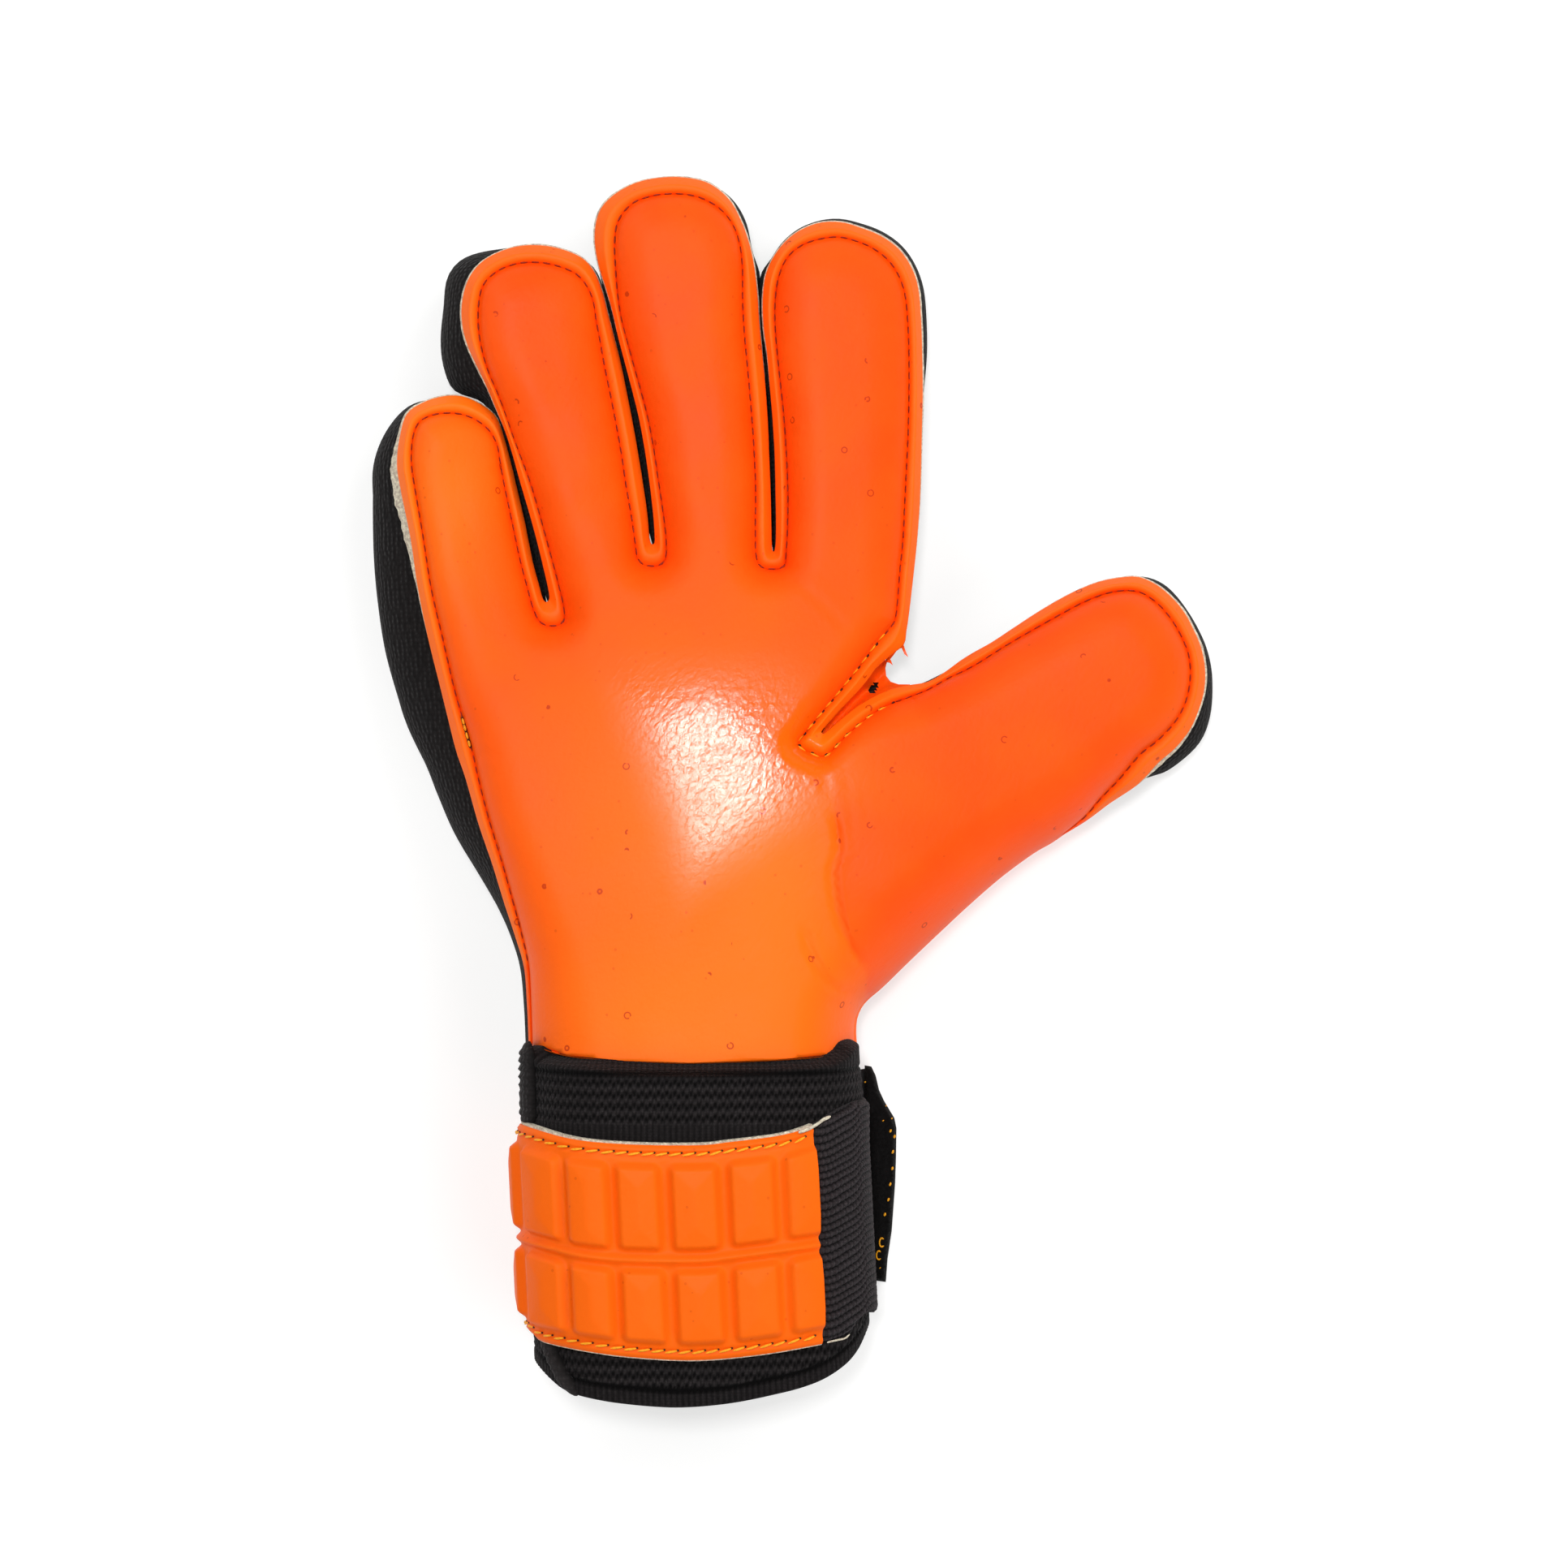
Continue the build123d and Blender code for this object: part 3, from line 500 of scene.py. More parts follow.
def ramp(tree, factor, stops):
    node = add(tree, "ValToRGB", Fac=factor)
    elements = node.color_ramp.elements
    while len(elements) < len(stops):
        elements.new(0.5)
    for element, (at, color) in zip(elements, stops):
        element.position = at
        element.color = (*color, 1)
    return node.outputs["Color"]


def math_node(tree, operation, a, b=0.5, c=0.5):
    return add(tree, "Math", {"operation": operation}, _0=a, _1=b, _2=c).outputs[0]


def product(tree, value, *others):
    for other in others:
        value = math_node(tree, "MULTIPLY", value, other)
    return value


def picked(tree, cells, channel, limit):
    """1 in the few cells of a Voronoi texture whose random colour is past a limit."""
    color = add(tree, "SeparateColor", Color=cells.outputs["Color"])
    return math_node(tree, "GREATER_THAN", color.outputs[channel], limit)


def mix(tree, factor, a, b):
    node = add(tree, "Mix", {"data_type": "RGBA"}, _0=factor)
    for socket, value in ((node.inputs[6], a), (node.inputs[7], b)):
        feed(tree, socket, (*value, 1) if isinstance(value, tuple) else value)
    return node.outputs[2]


def bump(tree, height, distance, strength=1.0, normal=None):
    node = add(tree, "Bump", Height=height, Distance=distance, Strength=strength)
    if normal is not None:
        tree.links.new(normal, node.inputs["Normal"])
    return node.outputs["Normal"]


BLACK, WHITE = (0, 0, 0), (1, 1, 1)
FIBRE, SPECK = (0.5, 0.03, 0.0), (0.5, 0.04, 0.0)


def latex_material(name, deep, pale, roughness, shine, fibres, polish=None):
    """Foam latex: a satin skin with a fine grain, faint mottling and embedded fibres. With polish
    (a roughness and the sides of a place) it is smoother there."""
    mat, tree = material(name, deep, roughness)
    place = attribute(tree, "rest", "Vector")
    mottle = noise(tree, place, 38.0, 4.0, Roughness=0.55)
    warmer = tuple(a + 0.35 * (b - a) for a, b in zip(deep, pale))
    tone = ramp(tree, mottle, [(0.25, deep), (0.8, warmer)])
    # The tone attribute paints light and shade into the colour, and makes the rim paler.
    tone = mix(tree, attribute(tree, "tone", "Fac"), tone, pale)
    cells = add(tree, "TexVoronoi", Vector=place, Scale=165.0, Randomness=1.0)
    ring = ramp(tree, cells.outputs["Distance"],
                [(0.08, BLACK), (0.1, WHITE), (0.13, WHITE), (0.15, BLACK)])
    unbroken = math_node(tree, "GREATER_THAN", noise(tree, place, 420.0, 1.0), 0.46)
    fibre = product(tree, ring, picked(tree, cells, 0, 0.7), unbroken, fibres)
    tone = mix(tree, fibre, tone, FIBRE)
    dots = add(tree, "TexVoronoi", Vector=place, Scale=480.0)
    dot = math_node(tree, "LESS_THAN", dots.outputs["Distance"], 0.16)
    tone = mix(tree, product(tree, dot, picked(tree, dots, 1, 0.9), 0.35), tone, SPECK)
    slanted = add(tree, "Mapping", {"vector_type": "TEXTURE"}, Vector=place,
                  Rotation=(0, 0, -0.7), Scale=(1.0, 1.7, 1.0)).outputs[0]
    normal = bump(tree, noise(tree, slanted, 900.0, 3.0, Distortion=0.4), 0.00019, 0.5)
    normal = bump(tree, noise(tree, place, 1500.0, 2.0), 0.00003, 0.5, normal)
    rough = ramp(tree, mottle, [(0.3, (roughness - 0.05,) * 3), (0.7, (roughness + 0.06,) * 3)])
    if polish:
        smooth, sides = polish
        past = product(tree, mottle, 0.012)
        for outward, limit in sides:
            along = add(tree, "VectorMath", {"operation": "DOT_PRODUCT"}, _0=place, _1=outward)
            over = math_node(tree, "ADD", along.outputs["Value"], 0.01 - limit)
            past = math_node(tree, "SMOOTH_MAX", past, over, 0.006)
        worn = ramp(tree, past, [(0.006, WHITE), (0.02, BLACK)])
        rough = mix(tree, worn, rough, (smooth,) * 3)
    return finish_material(mat, tone, normal, rough, Specular_IOR_Level=shine)


def knit_material(name, color, cell, depth, roughness=0.9, ribs=None, paint_shade=False):
    """Black knit: small raised cells with a painted highlight on their crests. A knit that reads the
    tone attribute also gets painted shade in its hollows.
    """
    mat, tree = material(name, color, roughness)
    place = attribute(tree, "rest", "Vector")
    cells = add(tree, "TexVoronoi", {"feature": "SMOOTH_F1"}, Vector=place, Scale=cell,
                Randomness=0.35)
    crest = ramp(tree, cells.outputs["Distance"], [(0.1, WHITE), (0.62, BLACK)])
    # Painted highlight: the crests' colour is made lighter.
    light = tuple(min(1.0, c * 2.6 + 0.004) for c in color)
    tone = mix(tree, crest, color, light)
    tone = mix(tree, product(tree, noise(tree, place, 60.0, 3.0), 0.5), tone, color)
    if paint_shade:
        # Painted shade: where the tone attribute is low, the colour darkens to near black.
        shade_colour = tuple(c * 0.12 for c in color)
        tone = mix(tree, attribute(tree, "tone", "Fac"), shade_colour, tone)
    height = crest
    if ribs:
        direction, pitch = ribs
        wave = add(tree, "TexWave", {"bands_direction": direction}, Vector=place, Scale=pitch,
                   Distortion=0.6, Detail=1.0)
        height = math_node(tree, "ADD", product(tree, wave.outputs["Fac"], 0.8),
                           product(tree, crest, 0.4))
    return finish_material(mat, tone, bump(tree, height, depth), Specular_IOR_Level=0.1,
                           Sheen_Weight=0.04, Sheen_Roughness=0.5)


def thread_material(name, color):
    mat, tree = material(name, color, 0.6)
    twist = noise(tree, attribute(tree, "rest", "Vector"), 2200.0, 1.0)
    dark = tuple(c * 0.8 for c in color)
    return finish_material(mat, ramp(tree, twist, [(0.35, dark), (0.65, color)]))


def fluff_material(name, color):
    """Brushed textile or hook and loop."""
    mat, tree = material(name, color, 0.95)
    fuzz = noise(tree, attribute(tree, "rest", "Vector"), 1300.0, 5.0, Roughness=0.7)
    dark = tuple(c * 0.55 for c in color)
    light = tuple(min(1.0, c * 1.5 + 0.002) for c in color)
    return finish_material(mat, ramp(tree, fuzz, [(0.35, dark), (0.7, light)]),
                           bump(tree, fuzz, 0.0006), Sheen_Weight=0.04, Specular_IOR_Level=0.15)


# Sides of the palm's polished place, in metres: (outward direction, distance from the origin).
POLISH_SIDES = [((0, 1, 0), 0.0235), ((-0.943, -0.333, 0), 0.0255), ((0.591, -0.807, 0), 0.001),
                ((0.866, 0.5, 0), 0.0085)]
# The latex's pale colour is mixed in by the tone attribute as painted light, and on the rim.
LATEX = latex_material("latex", (0.94, 0.068, 0.0002), (1.0, 0.165, 0.003), 0.55, 0.25, 0.85,
                       (0.14, POLISH_SIDES))
STRAP_LATEX = latex_material("strap_latex", (0.90, 0.125, 0.003), (0.92, 0.16, 0.007), 0.5, 0.12,
                             0.0)
MESH_KNIT = knit_material("mesh_knit", (0.0060, 0.0050, 0.0050), 900.0, 0.0004)
BACK_KNIT = knit_material("back_knit", (0.0080, 0.0075, 0.0080), 420.0, 0.0006)
CUFF_KNIT = knit_material("cuff_knit", (0.0150, 0.0128, 0.0132), 1500.0, 0.0002, paint_shade=True)
ELASTIC = knit_material("elastic", (0.0230, 0.0190, 0.0205), 1700.0, 0.0002, 0.8, paint_shade=True)
BINDING = knit_material("binding", (0.015, 0.013, 0.013), 1000.0, 0.0004, 0.8, paint_shade=True)
HOOK_LOOP = fluff_material("hook_and_loop", (0.0035, 0.003, 0.003))
BACKING = fluff_material("backing", (0.80, 0.64, 0.50))
DARK_THREAD = thread_material("dark_thread", (0.30, 0.020, 0.002))
BRIGHT_THREAD = thread_material("bright_thread", (1.0, 0.42, 0.008))
# Dark spindles that stand for the painted shade in needle holes and in a gap.
RECESS_SHADE = thread_material("recess_shade", (0.05, 0.006, 0.003))
WEB_LATEX = latex_material("web_latex", (0.95, 0.085, 0.001), (1.0, 0.15, 0.006), 0.35, 0.3, 0.0)
WEBBING = knit_material("webbing", (0.012, 0.012, 0.013), 700.0, 0.0005, 0.8, ("X", 260.0))


# ------------------------------------------------------------------ the latex shell
STEP = 1.25                          # spacing of the points along the outline
SEAM_SINK = 1.0                      # how far the stitches pull the face down at the seam
table = filled([row for side in SIDES for row in OUTLINE[side]])
row_side = [side for side in SIDES for _ in OUTLINE[side]]
edge, edge_row = spline(table, STEP)
edge_side = [row_side[i] for i in edge_row]
seam, cut = edge[:, :2], edge[:, 2:4]
seam_z, bulge, reach = edge[:, 4], edge[:, 5], edge[:, 6]
rim_width = np.hypot(*(cut - seam).T)

tangent = unit(np.gradient(seam, axis=0))
outward = unit(smoothed(np.c_[-tangent[:, 1], tangent[:, 0]], 2))
crown = thin_plate(CROWN)
CREASE_LINES = [(spline(points, CREASE_STEP)[0], depth, width) for points, depth, width in CREASES]


def on_seam(values, where):
    """A value that is given for each point of the outline, at places along it."""
    return np.interp(where, np.arange(len(seam)), values)


def face_height(points):
    """Height of the latex's face inside the seam, before perspective is taken out."""
    gap, where = distance_to(points, seam)
    base = on_seam(seam_z, where) - SEAM_SINK
    t = np.clip(gap / on_seam(reach, where), 0, 1)
    z = base + (crown(points) - base) * np.sqrt(1 - (1 - t) ** 2)
    for line, depth, width in CREASE_LINES:
        off, place = distance_to(points, line)
        last = len(line) - 1
        ends = smoothstep(place / CREASE_FADE) * smoothstep((last - place) / CREASE_FADE)
        z -= depth * ends * np.exp(-(off / width) ** 2)
        ridge = (off - RIDGE_PLACE * width) / (RIDGE_WIDTH * width)
        z += RIDGE_HEIGHT * depth * ends * np.exp(-ridge ** 2)
    return z


def region_of(point, side):
    """The part of the glove that a place belongs to: hand, wrist, or a digit's base or tip."""
    if side in DIGITS:
        digit = DIGITS[side]
        past = digit.past_fold(point)
        if side == "thumb" and point[1] < HEEL_OF_THUMB:
            past = -1.0
        if past > 0:
            return f"{side}_tip" if digit.local(point)[1] > digit.split else f"{side}_base"
    return "wrist" if point[1] < WRIST_FOLD[0] else "hand"


THUMB_SLOT = ((5.0, 12.0), (60.0, 46.0))     # line between the thumb and the index finger
THUMB_FROM = 4.0                     # nothing on the ulnar side of this X is on the thumb
FINGER_REACH = 24.0                  # how far from its middle line a finger may reach


def side_of(points, outline):
    """The digit that each place inside the outline is on, or the palm."""
    _, where = distance_to(points, outline)
    beside = np.array(edge_side)[np.clip(np.round(where).astype(int), 0, len(edge_side) - 1)]
    sides = np.array(["palm"] * len(points), dtype=object)
    best = np.full(len(points), 1e9)
    for name, digit in DIGITS.items():
        x, _ = digit.local(points)
        past = digit.past_fold(points)
        near = (past > 0) & ((np.abs(x) < best) | (beside == name))
        if name == "thumb":
            (x0, y0), (x1, y1) = THUMB_SLOT
            under = (points[:, 1] - y0) * (x1 - x0) < (points[:, 0] - x0) * (y1 - y0)
            near = (past > 0) & under & (points[:, 0] > THUMB_FROM)
        else:
            x = np.where(beside == name, 0, x)
            near &= np.abs(x) < FINGER_REACH
        sides[near] = name
        best[near] = 0 if name == "thumb" else np.abs(x)[near]
    return sides


def triangulate(loop, extra, lines):
    """Triangles inside a loop, with extra points and lines that no triangle crosses."""
    points = [Vector(p) for p in loop] + [Vector(p) for p in extra]
    edges = [(i, (i + 1) % len(loop)) for i in range(len(loop))]
    for line in lines:
        first = len(points)
        points += [Vector(p) for p in line]
        edges += [(first + i, first + i + 1) for i in range(len(line) - 1)]
    found = delaunay_2d_cdt(points, edges, [], 1, 1e-5)
    verts = np.array([tuple(v) for v in found[0]])
    faces = [list(f) for f in found[2]]
    keep = inside(centres_of(verts, faces), np.array(loop))
    return verts, [f for f, ok in zip(faces, keep) if ok]


def split_lines():
    """Lines across each digit where its pieces part, and the line where the wrist starts."""
    lines = []
    for name, digit in DIGITS.items():
        half = 26.0 if name == "thumb" else 15.5
        across = np.arange(-half, half + 0.1, STEP)[:, None]
        if name == "thumb":
            start = digit.fold_point + digit.fold_along * FOLD_REACH[name][0]
            lines.append(start + np.arange(-31.0, 33.0, STEP)[:, None] * digit.fold_axis)
        else:
            lines.append(digit.fold_point + across * digit.fold_axis)
        lines.append(digit.base + digit.along * digit.split + across * digit.axis)
    across = np.arange(-64, 20, STEP)
    lines.append(np.c_[across, np.full(len(across), WRIST_FOLD[0])])
    return lines


def grid_inside(loop, path, spacing, margin):
    """A staggered grid of points inside a loop, no nearer than margin to its edge."""
    low, high = loop.min(axis=0), loop.max(axis=0)
    rows = np.arange(low[1], high[1], spacing * 0.866)
    points = np.array([(x + (i % 2) * spacing / 2, y) for i, y in enumerate(rows)
                       for x in np.arange(low[0], high[0], spacing)])
    points = points[inside(points, loop)]
    gap, _ = distance_to(points, path)
    return points[gap > margin]


FACE_INSETS = (0.45, 1.1, 2.0, 3.1)  # rows of points along the seam
FACE_SPACING, FACE_MARGIN = 1.35, 3.7    # of the points inside them
wrist_edge = np.array(WRIST_EDGE)
face_loop = np.vstack([seam, wrist_edge])
near_rows = []
for inset in FACE_INSETS:
    row = seam - outward * inset
    gap, _ = distance_to(row, seam)
    near_rows.append(row[(gap > inset * 0.93) & inside(row, face_loop)])
extra = np.vstack(near_rows + [grid_inside(face_loop, seam, FACE_SPACING, FACE_MARGIN)])
face_xy, face_tris = triangulate(face_loop, extra, split_lines())
face_points = straighten(np.c_[face_xy, face_height(face_xy)])
face_centres = centres_of(face_xy, face_tris)
face_sides = side_of(face_centres, seam)
face_regions = [region_of(c, s) for c, s in zip(face_centres, face_sides)]

# ---- the raised rim outside the seam: place between seam and cut edge, height over the seam ----
RIM_PROFILE = [(0.0, -1.0), (0.10, -0.35), (0.27, 0.35), (0.50, 0.50), (0.585, 0.25),
               (0.96, -1.75), (1.0, -2.1), (0.97, -3.0), (0.60, -3.3), (0.05, -2.7)]
WALL_ROWS = 9
SLOT_REACH = 9.0                     # seams closer than this share a slot between two digits
BACK_EDGE = 1.4                      # height of the seam between the sides and the back
CUFF_RISE, RISE_FROM, RISE_LENGTH = 5.0, -36.0, 20.0     # the back rises so far to the cuff
RIM_FULL = 3.0                       # a narrower rim is flatter and lower
RIM_LEAST = 1.2                      # a narrower edge has no stitched rim
WRAP_FOOT = -5.0                     # where the latex wraps a side, its foot lies this far in


def cross_sections(columns):
    """Points of a strip with the given (plan, height) columns, taken along the outline."""
    rows = [straighten(np.c_[plan, height]) for plan, height in columns]
    return np.stack(rows, axis=1)


rim_share = rim_width / RIM_FULL
rim_grid = cross_sections([
    (seam + (cut - seam) * share,
     seam_z + dz * np.clip(rim_share, 0.25, 1.0) - (1 - np.clip(rim_share, 0, 1)) * SEAM_SINK)
    for share, dz in RIM_PROFILE])


def meeting_bulge():
    """How far each side bulges, with the sides of neighbouring digits touching in their slots."""
    side_name = np.array(edge_side)
    out = bulge.copy()
    for i in range(len(seam)):
        toward = seam - seam[i]
        gap = np.hypot(*toward.T)
        facing = (side_name != side_name[i]) & (toward @ outward[i] > 0.6 * gap)
        if facing.any() and gap[facing].min() < SLOT_REACH:
            out[i] = gap[facing].min() / 2 + 0.05
    return smoothed(out, 4)


def back_lift(points):
    """How far the back of the hand rises from the table towards the cuff and its round corners."""
    past = np.clip(np.abs(points[:, 0] - CUFF_X) - FLAT_X, 0, 0.75 * CUFF_CORNER)
    corner = CUFF_CORNER - np.sqrt(CUFF_CORNER ** 2 - past ** 2)
    return (CUFF_RISE + corner) * smoothstep((RISE_FROM - points[:, 1]) / RISE_LENGTH)


def wall_section():
    """The sides' columns: each bows out from under the rim by its bulge and in again to its foot."""
    bow = meeting_bulge()
    start = np.clip(rim_width, 0, RIM_FULL) * 0.15
    foot = np.minimum(bow * 0.75 - 1.0, bow - 1.0)
    foot = np.where((rim_width < 1.0) & (np.array(edge_side) == "thumb"), WRAP_FOOT, foot)
    middle = (bow - 0.25 * start - 0.25 * foot) / 0.5
    top = seam_z - SEAM_SINK - np.clip(rim_width, 0, 2.2) * 0.75
    low = BACK_EDGE + back_lift(seam)
    for t in np.linspace(0, 1, WALL_ROWS):
        out = start * (1 - t) ** 2 + 2 * middle * t * (1 - t) + foot * t * t
        yield seam + outward * out[:, None], top + (low - top) * t


wall_grid = cross_sections(wall_section())
edge_regions = [region_of(p, s) for p, s in zip((seam[:-1] + seam[1:]) / 2, edge_side[:-1])]


def grid_mesh(grid):
    """A strip's points and faces, and the outline step that each face is on."""
    rows, columns = grid.shape[:2]
    faces = strip_faces(rows, columns)
    return grid.reshape(-1, 3), faces, [r for r in range(rows - 1) for _ in range(columns - 1)]


def joined(parts):
    """Several (points, faces, regions) as one."""
    points, faces, regions, offset = [], [], [], 0
    for p, f, r in parts:
        points.append(p)
        faces += [[v + offset for v in face] for face in f]
        regions += list(r)
        offset += len(p)
    return np.vstack(points), faces, regions


def place_piece(obj, region):
    """Attaches a piece of the shell on the hand to the hand's body; a piece of the wrist or of a digit
    is only fixed in place.
    """
    if region == "hand":
        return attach(obj, "hand")
    if region == "wrist":
        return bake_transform(obj)
    name, part = region.rsplit("_", 1)
    low_first, low_last, first, last = FOLD_REACH[name]
    if part == "base":
        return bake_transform(obj)
    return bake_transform(obj)


REGIONS = ["hand", "wrist"] + [f"{n}_{p}" for n in DIGITS for p in ("base", "tip")]
FRONT_NODES = {"hand": ["palm_latex", "finger_base_folds"], "wrist": ["wrist_fold"],
               "thumb_base": ["thumb_base_fold"]}
SIDE_NODES = {"hand": ["ulnar_gusset", "radial_gusset", "finger_web_gussets", "thumb_web_gusset"]}
BACK_NODES = {"hand": ["backhand_panel"]}
for name in DIGITS:
    for part in ("base", "tip"):
        region = f"{name}_{part}"
        FRONT_NODES.setdefault(region, []).append(f"{region}_latex")
        SIDE_NODES[region] = [f"{region}_gusset"]
        BACK_NODES[region] = [f"{region}_back"]
    FRONT_NODES[f"{name}_base"].append(f"{name}_middle_fold")


def shell_pieces(kind, points, faces, regions, mat, slot_name, nodes=None, tone=None, pad=None):
    """Cuts a whole sheet of the glove into its regions' pieces."""
    for region in [name for name in REGIONS if name in regions]:
        p, f, n = split_mesh(points, faces, regions, region)
        obj = make_object(f"{region}_{kind}", p, f, mat, n)
        if tone is not None:
            paint_light_and_shade(obj, tone(p))
        place_piece(obj, region)
        if nodes and nodes.get(region):
            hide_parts(*nodes[region])


# Where painted light makes the latex paler, for its sheen: the X and Y of the middle, the half widths,
# and how much.
PAINTED_LIGHT_PLACES = {"palm": (-24, -8, 38, 46, 0.75), "little finger": (-78, 68, 12, 28, 0.8),
               "heel": (-22, -56, 40, 22, 0.75), "ball of the thumb": (1, -24, 18, 26, 0.45)}
# How much paler the rim is, and how much painted shade deepens the thumb past its crease.
PALE_RIM, THUMB_PAINTED_SHADE = 0.6, 0.75


def latex_light_shade_and_rim(points):
    """How pale the latex is: painted light makes it paler over the palm, the heel, the ball of the
    thumb and the little finger, painted shade deepens it past the crease at the thumb, and the rim
    outside the seam is paler than the face."""
    flat = points[:, :2] / shrink(points[:, 2:])
    _, place = distance_to(flat, seam)
    has_rim = on_seam(rim_width > RIM_LEAST, place)
    x, y = points[:, 0], points[:, 1]
    line = np.array(CREASES[0][0])
    past = x - np.interp(-y, -line[:, 1], line[:, 0])
    thumb = smoothstep((past + 0.3) / 1.2) * smoothstep((4 - y) / 12)
    pale = sum(share * np.exp(-(((x - at_x) / half_x) ** 2 + ((y - at_y) / half_y) ** 2))
               for at_x, at_y, half_x, half_y, share in PAINTED_LIGHT_PLACES.values())
    return np.clip(pale * (1 - THUMB_PAINTED_SHADE * thumb) + PALE_RIM * ~inside(flat, face_loop) * has_rim,
                   0, 1)


LIP_STEP = 1.3
# The latex's lower edge turns in over the cuff: offsets in Y and Z from the face's edge.
LIP_PROFILE = ((0.0, 0.0), (-0.25, -0.4), (-0.1, -2.2), (3.0, -2.6))
LATEX_FILL, BACK_FILL = 0.9, 0.7


def wrist_lip():
    """Points and faces of the lip along the latex's lower edge."""
    line = spline(np.vstack([seam[-1:], wrist_edge, seam[:1]]), LIP_STEP)[0]
    top = np.c_[line, face_height(line)]
    rows = [straighten(top + np.array([0, dy, dz])) for dy, dz in LIP_PROFILE]
    points, faces, _ = grid_mesh(np.stack(rows, axis=1))
    return points, faces


def some_faces(points, faces, steps, wanted):
    """The faces on the wanted steps of the outline, with the region of each."""
    keep = [i for i, step in enumerate(steps) if wanted(step)]
    return points, [faces[i] for i in keep], [edge_regions[steps[i]] for i in keep]


def make_front():
    """The latex with its rim and lip, and the sides: latex below the thumb, knit elsewhere."""
    wrapped = [w < RIM_LEAST and s == "thumb" for w, s in zip(rim_width, edge_side)]
    rim, wall = grid_mesh(rim_grid), grid_mesh(wall_grid)
    lip_points, lip_faces = wrist_lip()
    front = joined([(face_points, face_tris, face_regions),
                    some_faces(*rim, lambda r: not (wrapped[r] and rim_width[r] < 0.3)),
                    some_faces(*wall, lambda r: wrapped[r]),
                    (lip_points, lip_faces, ["wrist"] * len(lip_faces))])
    shell_pieces("latex", *front, LATEX, "palm_latex", FRONT_NODES, latex_light_shade_and_rim, LATEX_FILL)
    sides = some_faces(*wall, lambda r: not wrapped[r])
    shell_pieces("gusset", *sides, MESH_KNIT, "gusset_knit", SIDE_NODES)


# ------------------------------------------------------------------ the padded back
BACK_CUFF_SIDE = [(12.0, -60.0), (-22.0, -61.0), (-57.0, -60.0)]
BACK_SPACING, BACK_MARGIN = 3.0, 2.0
BACK_SAG, SAG_LENGTH = 1.2, 4.0      # the back sags to the table inside its edge


def make_back():
    foot_line = wall_grid[:, -1, :2]
    loop = np.vstack([foot_line, BACK_CUFF_SIDE])
    inner = grid_inside(loop, foot_line, BACK_SPACING, BACK_MARGIN)
    xy, faces = triangulate(loop, inner, split_lines())
    gap, _ = distance_to(xy, foot_line)
    z = BACK_EDGE + back_lift(xy) - BACK_SAG * smoothstep(gap / SAG_LENGTH)
    centres = centres_of(xy, faces)
    regions = [region_of(c, s) for c, s in zip(centres, side_of(centres, foot_line))]
    shell_pieces("back", np.c_[xy, z], [f[::-1] for f in faces], regions, BACK_KNIT, "back_knit",
                 BACK_NODES, pad=BACK_FILL)


make_front()
make_back()


# ------------------------------------------------------------------ stitches
UP = np.array([0.0, 0.0, 1.0])
STITCH_SIDES = 6
# Along a stitch: the place as a share of its length, and the width as a share of its radius.
STITCH_SECTIONS = [(-0.5, 0.25), (-0.32, 0.8), (0.0, 1.0), (0.32, 0.8), (0.5, 0.25)]
STITCH_SHELL = closed_tube(len(STITCH_SECTIONS), STITCH_SIDES)


def stitch_mesh(centres, directions, normals, length, radius, bend=0.0):
    """Small spindles of thread: one for each centre, along its direction. One direction or one
    normal may serve them all."""
    directions, normals = (np.broadcast_to(v, np.shape(centres)) for v in (directions, normals))
    points, faces = [], []
    for c, d, n in zip(centres, directions, normals):
        side = np.cross(d, n)
        first = len(points)
        for along, width in STITCH_SECTIONS:
            lift = bend * (0.25 - along * along) * 4
            for k in range(STITCH_SIDES):
                a = 2 * math.pi * k / STITCH_SIDES
                points.append(c + d * along * length + n * (lift + math.sin(a) * radius * width)
                              + side * math.cos(a) * radius * width)
        faces += [[first + v for v in face] for face in STITCH_SHELL]
    return np.array(points), faces


def along_path(path, pitch, start=0.0):
    """Points every pitch along a 3-D path, with the path's direction there."""
    steps = np.linalg.norm(np.diff(path, axis=0), axis=1)
    place = np.concatenate([[0], np.cumsum(steps)])
    at = np.arange(start, place[-1], pitch)
    centres = np.stack([np.interp(at, place, path[:, k]) for k in range(3)], axis=1)
    ahead = np.stack([np.interp(at + 0.6, place, path[:, k]) for k in range(3)], axis=1)
    behind = np.stack([np.interp(at - 0.6, place, path[:, k]) for k in range(3)], axis=1)
    return centres, unit(ahead - behind), np.interp(at, place, np.arange(len(path)))


WEB_SEAM_Y, WEB_SEAM_X = 36.0, 24.0


def seam_stitches(kind, in_web, mat, pitch, length, radius, inset, lift, slant=0.0):
    """Stitches along the seam, either those in the thumb's web or all the others."""
    path = straighten(np.c_[seam - outward * inset, seam_z + lift])
    centres, directions, at = along_path(path, pitch)
    index = np.clip(at.astype(int), 0, len(edge_regions) - 1)
    side = np.array(edge_side)[index]
    web = ((side == "index") & (centres[:, 1] < WEB_SEAM_Y)
           | (side == "thumb") & (centres[:, 0] < WEB_SEAM_X))
    chosen = np.nonzero((rim_width[index] > RIM_LEAST) & (web == in_web))[0]
    along = unit(directions[chosen] + slant * np.cross(directions[chosen], UP))
    points, faces = stitch_mesh(centres[chosen], along, UP, length, radius)
    regions = [edge_regions[index[i]] for i in chosen for _ in STITCH_SHELL]
    shell_pieces(kind, points, faces, regions, mat, "palm_latex")


